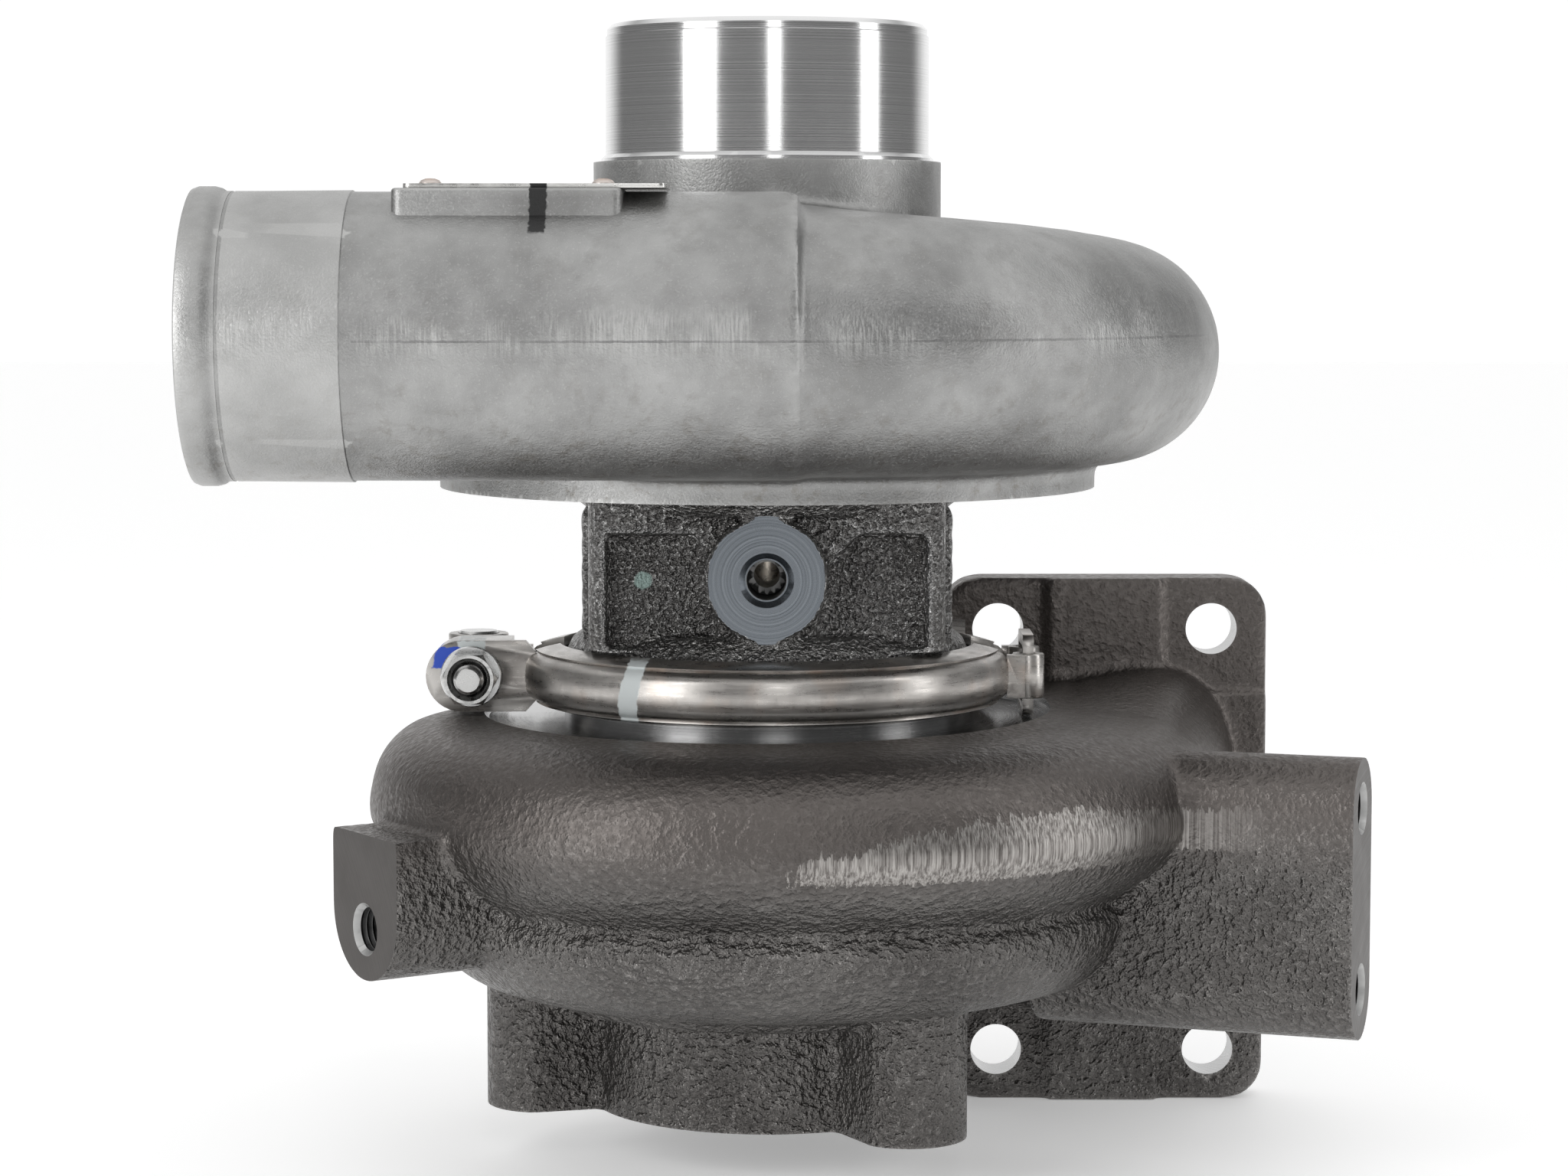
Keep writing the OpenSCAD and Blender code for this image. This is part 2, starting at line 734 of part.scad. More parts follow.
module turbine_housing() {
  edge = shroud(turbine_eye_r, turbine_tip_r, 30, 41, tip_gap);
  color("#3f3c3a") difference() {
    union() {
      volute(body_section, body_duct, gas_front_y + 6, core_r, 0, volute_end);
      disc(40, 24, 80);
      rotate_extrude() polygon([
        [20, 74], [neck_r, 78], [neck_r, joint_z - 4.7], [flange_r, joint_z - 3.4], [flange_r, joint_z],
        [20, joint_z]
      ]);
      disc(exhaust_wall_r, 0, 30);
      for (a = outlet_lobes)
        rotate([0, 0, a]) translate([exhaust_bolt_r, 0, 0]) cylinder(r = 12, h = 32, $fn = 64);
      for (a = outlet_lobes)
        rotate([0, 0, a]) translate([20, -9, 0]) cube([26, 18, 30]);
      lug(left_lug_angle, 50, left_lug_reach) union() {
        translate([-left_lug_r, left_lug_arc_z]) square([2 * left_lug_r, left_lug_top_z - left_lug_arc_z]);
        translate([0, left_lug_arc_z]) circle(r = left_lug_r);
      }
      lug(right_lug_angle, 60, right_lug_reach) union() {
        translate([-right_lug_r, right_lug_z[0]]) square([2 * right_lug_r, right_lug_z[1] - right_lug_z[0]]);
        for (z = right_lug_z)
          translate([0, z]) circle(r = right_lug_r);
      }
      gas_flange();
    }
    ring(annulus_r, neck_r, annulus_z, joint_z - 4.8);
    volute(upper_section, upper_duct, gas_back_y + past, nozzle_r, wall, 280);
    volute(lower_section, lower_duct, gas_back_y + past, nozzle_r, wall + 10.5, 280);
    ring(47, 20, 41.3, 45.6);
    ring(47, 20, 48.4, 52.8);
    disc(exhaust_r, -past, 20);
    rotate_extrude() polygon(concat(
      [[0, 19], [exhaust_r, 19], [exhaust_r, 20], [turbine_eye_r + tip_gap, 27]], edge,
      [[turbine_tip_r + tip_gap, 53], [0, 53]]
    ));
    disc(turbine_tip_r + tip_gap, 52, joint_z + past);
    disc(36.2, joint_z - 1.5, joint_z + past);
    for (a = outlet_lobes)
      rotate([0, 0, a]) translate([exhaust_bolt_r, 0, -past]) cylinder(r = lug_hole_r, h = 20 + past);
    for (x = [-1, 1], z = [-1, 1])
      y_bar(gas_hole_r, gas_x + x * gas_hole_dx / 2, gas_z + z * gas_hole_dz / 2, gas_front_y - 6, gas_back_y + past);
    lug_hole(left_lug_angle, left_lug_reach, left_lug_hole_z);
    for (z = right_lug_z)
      lug_hole(right_lug_angle, right_lug_reach, z);
    locating_hole();
  }
}

turbine_housing();
locating_pin();
heat_shield();
clamp_front_band();
clamp_rear_band();
clamp_hinge_link();
clamp_t_bolt();
clamp_washer();
clamp_nut();
bearing_housing();
lower_journal_bearing();
upper_journal_bearing();
bearing_circlips();
turbine_piston_ring();
rotor_shaft();
turbine_wheel();
thrust_ring();
thrust_bearing();
thrust_sleeve();
oil_deflector();
seal_insert();
insert_o_ring();
insert_snap_ring();
sleeve_piston_ring();
compressor_wheel();
wheel_lock_nut();
compressor_cover();
cover_o_ring();
cover_snap_ring();
name_plate();
name_plate_rivets();
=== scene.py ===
"""The looks of a turbocharger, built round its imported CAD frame.

Shapes are written in millimetres in the frame's own axes and scaled by MM when a mesh is made.
"""

import math

import bmesh
import bpy
from mathutils import Matrix, Vector


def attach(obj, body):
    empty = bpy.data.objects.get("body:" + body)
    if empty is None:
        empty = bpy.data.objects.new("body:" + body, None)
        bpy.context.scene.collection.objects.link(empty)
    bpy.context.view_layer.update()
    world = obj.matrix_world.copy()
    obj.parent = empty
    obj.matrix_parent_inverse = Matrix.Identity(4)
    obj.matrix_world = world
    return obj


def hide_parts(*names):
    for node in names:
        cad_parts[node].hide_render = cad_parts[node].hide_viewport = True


MM = 0.001

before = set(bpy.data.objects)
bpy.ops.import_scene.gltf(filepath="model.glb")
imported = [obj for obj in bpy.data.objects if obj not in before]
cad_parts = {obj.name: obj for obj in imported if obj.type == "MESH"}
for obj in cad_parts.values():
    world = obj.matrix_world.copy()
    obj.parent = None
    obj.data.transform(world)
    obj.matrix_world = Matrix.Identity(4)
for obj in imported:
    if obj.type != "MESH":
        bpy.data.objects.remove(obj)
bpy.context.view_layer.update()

# ---- driving sizes, as in the CAD model ----

JOINT_Z = 88.1
INLET_R, INLET_BORE_R, INLET_TOP_Z = 32.7, 28.5, 219.3
COLLAR_R, COLLAR_TOP_Z = 35.2, 191.8
COVER_LOW_Z, COVER_RIM_R = 126.5, 66.7
PLATE_TOP_Z, DIFFUSER_TOP_Z, DIFFUSER_R = 137.0, 142.4, 52.0
SCROLL_R, SCROLL_WALL, SCROLL_FLOOR_Z = 21.0, 4.5, 135.8
SCROLL_START, SCROLL_SWEEP = 215.0, 305.0
SKIN_SPARE = 0.42  # keeps the round skin inside the CAD's facets
OUTLET_Y, OUTLET_Z, OUTLET_LEN = 67.0, 158.0, 106.0
OUTLET_R, OUTLET_BORE_R, OUTLET_BEAD_R = 27.0, 22.4, 27.8
BODY_W, BODY_D = 70.8, 64.0
OIL_Z, OIL_FACE_Y, OIL_HOLE_R = 110.0, 38.0, 4.3
DRAIN_Z, DRAIN_FACE_Y, DRAIN_R, DRAIN_SPACING = 109.7, 42.0, 9.0, 42.0
EXHAUST_R, EXHAUST_WALL_R, EXHAUST_BOLT_R = 28.0, 36.5, 46.0
LOBES, LOBE_R = (67, 187, 307), 12.0
GAS_X, GAS_Z, GAS_W, GAS_H, GAS_FRONT_Y, GAS_BACK_Y = 72.5, 47.0, 70.0, 114.0, 38.0, 50.0
GAS_DX, GAS_DZ, GAS_HOLE_R = 46.0, 92.0, 5.5
CORNERS = ((-1, -1), (-1, 1), (1, -1), (1, 1))
LUG_HOLE_R = 4.25
LEFT_LUG = dict(angle=213, reach=92.3, half=13.5, top=62.0, middle=47.0, holes=(43.5,))
RIGHT_LUG = dict(angle=341, reach=123.0, half=10.0, holes=(29.8, 65.6))
ANNULUS_Z, ANNULUS_R = 79.3, 58.0
PAD_TOP_Z, PLATE_Y, RIVETS_X = 185.2, -68, (-62, -30)
FLOOR_Z, FLOOR_R = -10.05, 6000  # just under the gas flange's lowest edge
BOLT_X = 60.0
WHEEL_TIP_R, WHEEL_EYE_R = 33.0, 24.0
TURBINE_TIP_R, TURBINE_EYE_R = 31.0, 26.0


# ---- small mesh tools ----


def new_object(name, data):
    made = bpy.data.objects.new(name, data)
    bpy.context.scene.collection.objects.link(made)
    return made


def modify(piece, kind, **settings):
    step = piece.modifiers.new(kind.lower(), kind)
    for key, value in settings.items():
        setattr(step, key, value)


def mesh_piece(name, verts, faces, material):
    """A mesh object from points in millimetres, with its doubles merged and its faces turned outwards."""
    bm = bmesh.new()
    made = [bm.verts.new((x * MM, y * MM, z * MM)) for x, y, z in verts]
    for face in faces:
        bm.faces.new([made[i] for i in face])
    bmesh.ops.remove_doubles(bm, verts=bm.verts, dist=1e-6)
    bmesh.ops.dissolve_degenerate(bm, edges=bm.edges, dist=1e-7)
    bmesh.ops.recalc_face_normals(bm, faces=bm.faces)
    mesh = bpy.data.meshes.new(name)
    bm.to_mesh(mesh)
    bm.free()
    if material:
        mesh.materials.append(material)
    return new_object(name, mesh)


def polar(r, a, z):
    return r * math.cos(a), r * math.sin(a), z


def sweep(rings, material=None, closed=False):
    """A tube through rings of points; its ends are capped unless it closes on itself."""
    n, count = len(rings[0]), len(rings)
    verts = [p for ring in rings for p in ring]
    faces = []
    for i in range(count if closed else count - 1):
        here, there = i * n, (i + 1) % count * n
        faces += [(here + k, here + (k + 1) % n, there + (k + 1) % n, there + k) for k in range(n)]
    if not closed:
        faces += [tuple(range(n)), tuple((count - 1) * n + k for k in range(n))]
    return mesh_piece("piece", verts, faces, material)


def lathe(outline, material=None, at=(0, 0, 0), along=(0, 0, 1), turns=128):
    """A closed outline of (radius, height) points turned round an axis."""
    turn = Vector(along).to_track_quat("Z", "Y").to_matrix().to_4x4()
    frame_at = Matrix.Translation(Vector(at)) @ turn
    rings = []
    for i in range(turns):
        a = 2 * math.pi * i / turns
        rings.append([frame_at @ Vector(polar(r, a, h)) for r, h in outline])
    return sweep(rings, material, closed=True)


def bar(radius, start, end, material=None, turns=64):
    """A round bar between two points."""
    along = Vector(end) - Vector(start)
    outline = [(0, 0), (radius, 0), (radius, along.length), (0, along.length)]
    return lathe(outline, material, start, along, turns)


def prism(outline, depth, at, material=None):
    """A flat outline in a frame of its own, pushed out by a depth along that frame's +Z."""
    return sweep([[at @ Vector((x, y, h)) for x, y in outline] for h in (0, depth)], material)


def block(low, high, material=None):
    """A box between two corners."""
    outline = [(low[0], low[1]), (high[0], low[1]), (high[0], high[1]), (low[0], high[1])]
    return prism(outline, high[2] - low[2], Matrix.Translation((0, 0, low[2])), material)


def facing_front(x, y, z):
    """Outline x runs right, outline y runs up, and depth runs towards the front."""
    return Matrix.Translation((x, y, z)) @ Matrix.Rotation(math.radians(90), 4, "X")


def arc(radius, first, last, step=10, middle=(0, 0)):
    """Points on a circle, from one angle in degrees up to the other."""
    turns = [math.radians(a) for a in range(first, last, step)]
    return [(middle[0] + radius * math.cos(a), middle[1] + radius * math.sin(a)) for a in turns]


def hexagon(radius):
    return arc(radius, 0, 360, 60)


def round_rectangle(w, h, r, steps=8):
    outline = []
    for cx, cy, first in ((1, 1, 0), (-1, 1, 90), (-1, -1, 180), (1, -1, 270)):
        for i in range(steps + 1):
            a = math.radians(first + 90 * i / steps)
            outline.append((cx * (w / 2 - r) + r * math.cos(a), cy * (h / 2 - r) + r * math.sin(a)))
    return outline


def smooth_outline(points, steps=4):
    """A closed curve through points (Catmull-Rom)."""
    out, n = [], len(points)
    for i in range(n):
        p0, p1, p2, p3 = (Vector(points[(i + k) % n]) for k in (-1, 0, 1, 2))
        for s in range(steps):
            t = s / steps
            square, cube = 2 * p0 - 5 * p1 + 4 * p2 - p3, 3 * p1 - p0 - 3 * p2 + p3
            out.append(tuple(0.5 * (2 * p1 + (p2 - p0) * t + square * t * t + cube * t**3)))
    return out


def between(x, table):
    """Linear interpolation in a table of (x, value) pairs."""
    if x <= table[0][0]:
        return table[0][1]
    for (x0, v0), (x1, v1) in zip(table, table[1:]):
        if x <= x1:
            return v0 + (v1 - v0) * (x - x0) / (x1 - x0)
    return table[-1][1]


def ease(t):
    t = min(max(t, 0.0), 1.0)
    return t * t * (3 - 2 * t)


def take_mesh(piece, made):
    """Gives a piece a new mesh in place of its old one and its modifiers."""
    old = piece.data
    piece.modifiers.clear()
    piece.data = made
    bpy.data.meshes.remove(old)


def evaluated_mesh(piece):
    graph = bpy.context.evaluated_depsgraph_get()
    return bpy.data.meshes.new_from_object(piece.evaluated_get(graph))


def apply_modifiers(piece):
    take_mesh(piece, evaluated_mesh(piece))


def drop(piece):
    mesh = piece.data
    bpy.data.objects.remove(piece)
    bpy.data.meshes.remove(mesh)


def join(pieces, name):
    """One object out of several; the first one's material is kept."""
    bm = bmesh.new()
    materials = list(pieces[0].data.materials)
    for piece in pieces:
        bm.from_mesh(piece.data)
    mesh = bpy.data.meshes.new(name)
    bm.to_mesh(mesh)
    bm.free()
    for material in materials:
        mesh.materials.append(material)
    for piece in pieces:
        drop(piece)
    return new_object(name, mesh)


def casting(name, pieces, material, voxel, rounds):
    """Rough solids melted into one cast body: a voxel skin, smoothed so that inner corners get fillets."""
    body = join(pieces, name)
    modify(body, "REMESH", mode="VOXEL", voxel_size=voxel * MM)
    modify(body, "SMOOTH", factor=0.5, iterations=rounds)
    apply_modifiers(body)
    body.data.materials.clear()
    body.data.materials.append(material)
    return body


def boolean(body, tool, operation, solver="MANIFOLD"):
    """Cuts or adds a tool, which leaves its own material on the faces that it makes."""
    modify(body, "BOOLEAN", operation=operation, object=tool, solver=solver, material_mode="TRANSFER")
    made = evaluated_mesh(body)
    if solver == "MANIFOLD" and len(made.polygons) in (0, len(body.data.polygons)):
        bpy.data.meshes.remove(made)
        body.modifiers.clear()
        return boolean(body, tool, operation, "EXACT")
    take_mesh(body, made)
    drop(tool)
    return body


def cut(body, *tools):
    for tool in tools:
        boolean(body, tool, "DIFFERENCE")
    return body


def add(body, *tools):
    for tool in tools:
        boolean(body, tool, "UNION")
    return body


def shade(piece, angle):
    """Smooth shading, with sharp edges and the borders between cast and machined faces kept crisp."""
    mesh = piece.data
    mesh.polygons.foreach_set("use_smooth", [True] * len(mesh.polygons))
    mesh.set_sharp_from_angle(angle=math.radians(angle))
    bm = bmesh.new()
    bm.from_mesh(mesh)
    for edge in bm.edges:
        if len({face.material_index for face in edge.link_faces}) > 1:
            edge.smooth = False
    bm.to_mesh(mesh)
    bm.free()


def soft_edges(piece, width, segments=2):
    """A small bevel on every sharp edge."""
    limit = dict(limit_method="ANGLE", angle_limit=math.radians(35))
    modify(piece, "BEVEL", width=width * MM, segments=segments, **limit)
    apply_modifiers(piece)
    return piece


def place(piece, body, node, angle=35):
    """Shades a finished piece, names it and hands it to the frame."""
    shade(piece, angle)
    piece.name = piece.data.name = node + "_look"
    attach(piece, body)
    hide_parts(node)


# ---- materials ----


class Nodes:
    """Short calls for building the node tree of a material or the world."""

    def __init__(self, owner, shader="Principled BSDF", where="Object"):
        self.owner = owner
        owner.use_nodes = True
        self.tree = owner.node_tree
        self.inputs = self.tree.nodes[shader].inputs
        self.where = self.new("ShaderNodeTexCoord").outputs[where]

    def new(self, kind, **settings):
        node = self.tree.nodes.new(kind)
        for key, value in settings.items():
            setattr(node, key, value)
        return node

    def link(self, source, target):
        self.tree.links.new(source, target)

    def feed(self, socket, value):
        """Links another node's output to a socket, or sets the socket to a number or a colour."""
        if hasattr(value, "is_linked"):
            self.link(value, socket)
        else:
            socket.default_value = (*value, 1.0) if isinstance(value, tuple) else value

    def fill(self, node, **sockets):
        for name, value in sockets.items():
            self.feed(node.inputs[name], value)

    def noise(self, size_mm, detail=3.0, rough=0.55, where=None, stretch=None):
        node = self.new("ShaderNodeTexNoise")
        self.fill(node, Scale=1 / (size_mm * MM), Detail=detail, Roughness=rough)
        source = where or self.where
        if stretch:
            scale = self.new("ShaderNodeMapping")
            scale.inputs["Scale"].default_value = stretch
            self.link(source, scale.inputs["Vector"])
            source = scale.outputs["Vector"]
        self.link(source, node.inputs["Vector"])
        return node.outputs["Fac"]

    def math(self, operation, *values, clamp=False):
        node = self.new("ShaderNodeMath", operation=operation, use_clamp=clamp)
        for socket, value in zip(node.inputs, values):
            self.feed(socket, value)
        return node.outputs[0]

    def add(self, a, b):
        return self.math("ADD", a, b)

    def sub(self, a, b, clamp=False):
        return self.math("SUBTRACT", a, b, clamp=clamp)

    def mul(self, first, *others):
        for other in others:
            first = self.math("MULTIPLY", first, other)
        return first

    def remap(self, value, low, high, to_low=0.0, to_high=1.0, kind="LINEAR"):
        node = self.new("ShaderNodeMapRange", clamp=True, interpolation_type=kind)
        for socket, item in zip(node.inputs, (value, low, high, to_low, to_high)):
            self.feed(socket, item)
        return node.outputs["Result"]

    def mix(self, share, a, b, kind="RGBA"):
        node = self.new("ShaderNodeMix", data_type=kind)
        self.fill(node, Factor=share, A=a, B=b)
        return node.outputs["Result"]

    def split(self, vector=None):
        node = self.new("ShaderNodeSeparateXYZ")
        self.link(vector or self.where, node.inputs[0])
        return node.outputs["X"], node.outputs["Y"], node.outputs["Z"]

    def edges(self, low=0.50, high=0.56):
        return self.remap(self.new("ShaderNodeNewGeometry").outputs["Pointiness"], low, high)

    def bump(self, height, strength, distance_mm, normal=None):
        node = self.new("ShaderNodeBump")
        self.fill(node, Strength=strength, Distance=distance_mm * MM, Height=height)
        if normal:
            self.link(normal, node.inputs["Normal"])
        return node.outputs["Normal"]

    def done(self, color, roughness, normal=None, metallic=1.0):
        self.feed(self.inputs["Base Color"], color)
        self.feed(self.inputs["Roughness"], roughness)
        self.feed(self.inputs["Metallic"], metallic)
        if normal:
            self.link(normal, self.inputs["Normal"])
        return self.owner


def material_nodes(name):
    return Nodes(bpy.data.materials.new(name))


def dab(n, x, z, half_x, half_z, front_y, slant=0.0, bow=0.0):
    """A soft-edged patch on the surfaces that face the front, round a place given in metres."""
    across, depth, up = n.split()
    dz = n.sub(up, z)
    shift = n.add(n.mul(dz, slant), n.mul(dz, dz, bow))
    wobble = n.mul(n.sub(n.noise(1.6, 3.0, 0.6), 0.5), 0.0013)
    dx = n.math("ABSOLUTE", n.sub(n.add(across, wobble), n.add(shift, x)))
    inside_x = n.remap(dx, half_x, half_x * 0.86)
    inside_z = n.remap(n.math("ABSOLUTE", n.add(dz, wobble)), half_z, half_z * 0.92)
    return n.mul(inside_x, inside_z, n.math("LESS_THAN", depth, front_y))


def spot(n, x, z, radius, front_y):
    """A round dab."""
    across, depth, up = n.split()
    dx, dz = n.sub(across, x), n.sub(up, z)
    away = n.math("SQRT", n.add(n.mul(dx, dx), n.mul(dz, dz)))
    ragged = n.add(away, n.mul(n.noise(0.9, 3.0, 0.6), radius * 0.5))
    return n.mul(n.remap(ragged, radius * 1.35, radius * 1.1), n.math("LESS_THAN", depth, front_y))


# paint marks in metres: x, z, half width, half height, Y that they stop at, then slant and bow
INK_STROKE = (-0.0412, 0.183, 0.0017, 0.0062, -0.07)
STRIPE = (-0.0268, 0.0881, 0.0020, 0.0066, 0.0, 0.14, 28.0)
BLUE_DAB = (-0.0652, 0.0918, 0.0024, 0.0022, 0.004, 0.3)
WHITE_TICK = (-0.0600, 0.0943, 0.0030, 0.0011, 0.004)
GREEN_SPOT = (-0.0244, 0.1092, 0.0018, -0.02)  # x, z, radius, Y that it stops at
INK, WHITE = (0.008, 0.008, 0.008), (0.62, 0.66, 0.66)
COBALT, PALE_GREEN = (0.015, 0.07, 0.50), (0.33, 0.44, 0.41)


def painted(n, color, rough, normal, paints):
    """Lays dabs of paint over a metal; each is (mask, colour)."""
    metal = 1.0
    for mask, tone in paints:
        color = n.mix(mask, color, tone)
        rough = n.math("MAXIMUM", rough, n.mul(mask, 0.5))
        metal = n.sub(metal, mask, clamp=True)
    return n.done(color, rough, normal, metal)


def cast_aluminium():
    """Blasted aluminium casting: fine grain, cloudy grey stains, soft bright edges, faint dressing marks."""
    n = material_nodes("cast_aluminium")
    grain = n.noise(0.45, 2.0, 0.6)
    pits = n.noise(1.6, 3.0, 0.6)
    cloud = n.noise(26, 4.0, 0.62)
    small_cloud = n.noise(7, 4.0, 0.7)
    x, y, z = n.split()
    color = n.mix(n.remap(cloud, 0.36, 0.66), (0.27, 0.27, 0.266), (0.43, 0.43, 0.425))
    color = n.mix(n.remap(small_cloud, 0.52, 0.72, 0, 0.35), color, (0.22, 0.215, 0.205))
    color = n.mix(n.remap(grain, 0.56, 0.72, 0, 0.30), color, (0.62, 0.62, 0.61))
    # brownish dark patches, stronger towards the bottom of the cover
    low_dark_patches = n.mul(n.remap(n.noise(3.2, 5.0, 0.7), 0.54, 0.66), n.remap(z, 0.134, 0.158, 0.9, 0.0))
    color = n.mix(n.mul(low_dark_patches, 0.55), color, (0.20, 0.185, 0.16))
    # the parting line's dressing marks run up and down along the front of the pipe and the scroll
    lines = n.noise(0.4, 2.0, 0.5, stretch=(1.0, 1.0, 0.05))
    near_line = n.sub(1.0, n.remap(n.math("ABSOLUTE", n.sub(z, 0.1595)), 0.0015, 0.0055))
    patch = n.remap(n.noise(16, 2.0, 0.5), 0.47, 0.56)
    dressed = n.mul(near_line, patch, n.remap(y, -0.045, -0.055))
    color = n.mix(n.mul(dressed, n.remap(lines, 0.40, 0.62, 0.05, 0.5)), color, (0.66, 0.66, 0.65))
    color = n.mix(n.mul(n.edges(0.505, 0.56), 0.45), color, (0.68, 0.68, 0.67))
    rough = n.remap(grain, 0.3, 0.7, 0.36, 0.54)
    marks = n.bump(n.mul(lines, dressed), 0.5, 0.15)
    normal = n.bump(grain, 0.55, 0.16, n.bump(pits, 0.25, 0.35, marks))
    # the parting line itself, thin and dark
    off_line = n.math("ABSOLUTE", n.sub(n.add(z, n.mul(pits, 0.0004)), 0.1578))
    line = n.mul(n.math("LESS_THAN", off_line, 0.00022), n.math("GREATER_THAN", x, -0.074))
    line = n.mul(line, n.remap(y, -0.03, -0.04))
    color = n.mix(n.mul(line, n.remap(cloud, 0.4, 0.6, 0.12, 0.5)), color, (0.10, 0.10, 0.10))
    return painted(n, color, rough, normal, [(dab(n, *INK_STROKE, slant=0.03), INK)])


def turned_metal(
    name, dark, light, roughness, ring_mm=0.35, axis="Z", depth=0.02, middle=(0, 0, 0), worn=0.5
):
    """Machined metal: tool marks as rings round an axis through a middle point, with soft colour bands.

    worn is the share of the rubbed edges; it is low on large flat faces, where it would smear.
    """
    n = material_nodes(name)
    moved = n.new("ShaderNodeVectorMath", operation="SUBTRACT")
    n.link(n.where, moved.inputs[0])
    moved.inputs[1].default_value = [value * MM for value in middle]
    x, y, z = n.split(moved.outputs[0])
    u, v, w = {"Z": (x, y, z), "Y": (x, z, y), "X": (y, z, x)}[axis]
    radius = n.math("SQRT", n.add(n.math("POWER", u, 2.0), n.math("POWER", v, 2.0)))
    ring = n.new("ShaderNodeCombineXYZ")
    n.link(n.add(radius, w), ring.inputs["X"])
    marks = n.noise(ring_mm, 3.0, 0.6, where=ring.outputs[0])
    fine = n.noise(0.25, 2.0, 0.5)
    cloud = n.noise(9, 3.0, 0.6)
    color = n.mix(n.remap(marks, 0.3, 0.7), dark, light)
    color = n.mix(n.remap(cloud, 0.5, 0.75, 0, 0.35), color, tuple(c * 0.72 for c in light))
    color = n.mix(n.mul(n.edges(), worn), color, (0.88, 0.88, 0.88))
    uneven = n.add(n.mul(marks, 0.7), n.mul(cloud, 0.3))
    rough = n.remap(uneven, 0.3, 0.7, roughness * 0.75, roughness * 1.35)
    normal = n.bump(marks, 0.35, depth, n.bump(fine, 0.15, 0.01))
    return n.done(color, rough, normal)


def cast_iron(name, base, dark, painted_glint_and_wear, grain_mm=0.8, strength=0.8, ground=False, painted_glint_share=0.35):
    """Sand-cast iron: coarse grain with painted glints in its colour, patchy scale, rubbed edges."""
    n = material_nodes(name)
    grain = n.noise(grain_mm, 2.0, 0.55)
    coarse = n.noise(grain_mm * 2.4, 3.0, 0.6)
    cloud = n.noise(30, 4.0, 0.6)
    color = n.mix(n.remap(cloud, 0.38, 0.64), dark, base)
    # painted glints: bright grains mixed into the colour; a paler copy of this tone colours the rubbed edges
    color = n.mix(n.remap(grain, 0.50, 0.70, 0.0, painted_glint_share), color, painted_glint_and_wear)
    color = n.mix(n.mul(n.edges(0.51, 0.58), 0.35), color, tuple(min(1.0, c * 1.5) for c in painted_glint_and_wear))
    rough = n.remap(grain, 0.30, 0.68, 0.44, 0.24)
    height = n.add(n.mul(grain, 0.75), coarse)
    if ground:
        # the skin is smoother and browner above the ground band
        _, _, z = n.split()
        height = n.mul(height, n.remap(z, 0.050, 0.064, 1.0, 0.22))
        color = n.mix(n.remap(z, 0.052, 0.066, 0.0, 0.75), color, (0.135, 0.120, 0.112))
        rough = n.add(rough, n.remap(z, 0.050, 0.062, 0.0, 0.10))
    normal = n.bump(height, strength, 1.7)
    if ground:
        color, rough, normal = ground_band(n, color, rough, normal)
        return n.done(color, rough, normal, metallic=0.92)
    return painted(n, color, rough, normal, [(spot(n, *GREEN_SPOT), PALE_GREEN)])


def ground_band(n, color, rough, normal):
    """The strip ground off the front right of the volute: bright, with upright scratches and a torn edge."""
    x, y, z = n.split()
    ragged = n.noise(1.3, 3.0, 0.75, stretch=(1.0, 1.0, 0.015))
    wide = n.noise(14, 2.0, 0.5)
    torn = n.sub(ragged, 0.5)
    top = n.add(n.remap(x, 0.004, 0.040, 0.0600, 0.0672), n.mul(wide, 0.0030))
    top = n.sub(top, n.remap(x, 0.060, 0.082, 0.0, 0.0035))
    top = n.add(top, n.mul(torn, 0.0085))
    low = n.add(0.0575, n.mul(torn, 0.0035))
    start = n.add(0.006, n.mul(torn, 0.02))
    inside = n.mul(n.math("GREATER_THAN", z, low), n.math("LESS_THAN", z, top))
    inside = n.mul(inside, n.math("LESS_THAN", y, -0.012), n.math("GREATER_THAN", x, start))
    fade = n.remap(x, 0.078, 0.098, 1.0, 0.0)
    scratch = n.noise(0.42, 3.0, 0.65, stretch=(1.0, 1.0, 0.012))
    share = n.mul(inside, fade, n.remap(scratch, 0.30, 0.50, 0.45, 1.0))
    shine = n.mix(n.remap(scratch, 0.36, 0.66), (0.14, 0.128, 0.120), (0.46, 0.44, 0.42))
    color = n.mix(share, color, shine)
    lines = n.bump(scratch, 0.7, 0.12)
    return color, n.mix(share, rough, 0.34, "FLOAT"), n.mix(share, normal, lines, "VECTOR")


def stainless_band():
    """Pressed stainless strip with a straw heat tint and handling marks."""
    n = material_nodes("stainless_band")
    x, _, _ = n.split()
    rolled = n.noise(0.5, 3.0, 0.6, stretch=(0.08, 0.08, 1.0))
    tint = n.noise(13, 3.0, 0.6)
    smear = n.noise(3.5, 4.0, 0.7)
    color = n.mix(n.remap(tint, 0.36, 0.64), (0.27, 0.252, 0.238), (0.45, 0.428, 0.405))
    color = n.mix(n.remap(n.noise(8, 2.0, 0.5), 0.55, 0.70, 0, 0.5), color, (0.45, 0.36, 0.30))
    color = n.mix(n.remap(smear, 0.56, 0.72, 0, 0.6), color, (0.20, 0.18, 0.17))
    # darker towards the bolt end, fading in from x -47.5 mm to -55.5 mm
    color = n.mix(n.remap(x, -0.0555, -0.0475, 0.65, 0.0), color, (0.13, 0.122, 0.114))
    color = n.mix(n.mul(n.edges(), 0.4), color, (0.85, 0.83, 0.80))
    rough = n.remap(n.add(n.mul(rolled, 0.6), n.mul(smear, 0.4)), 0.3, 0.7, 0.20, 0.42)
    normal = n.bump(rolled, 0.25, 0.04, n.bump(smear, 0.12, 0.15))
    paints = [(dab(n, *STRIPE), WHITE), (dab(n, *WHITE_TICK), WHITE), (dab(n, *BLUE_DAB), COBALT)]
    return painted(n, color, rough, normal, paints)


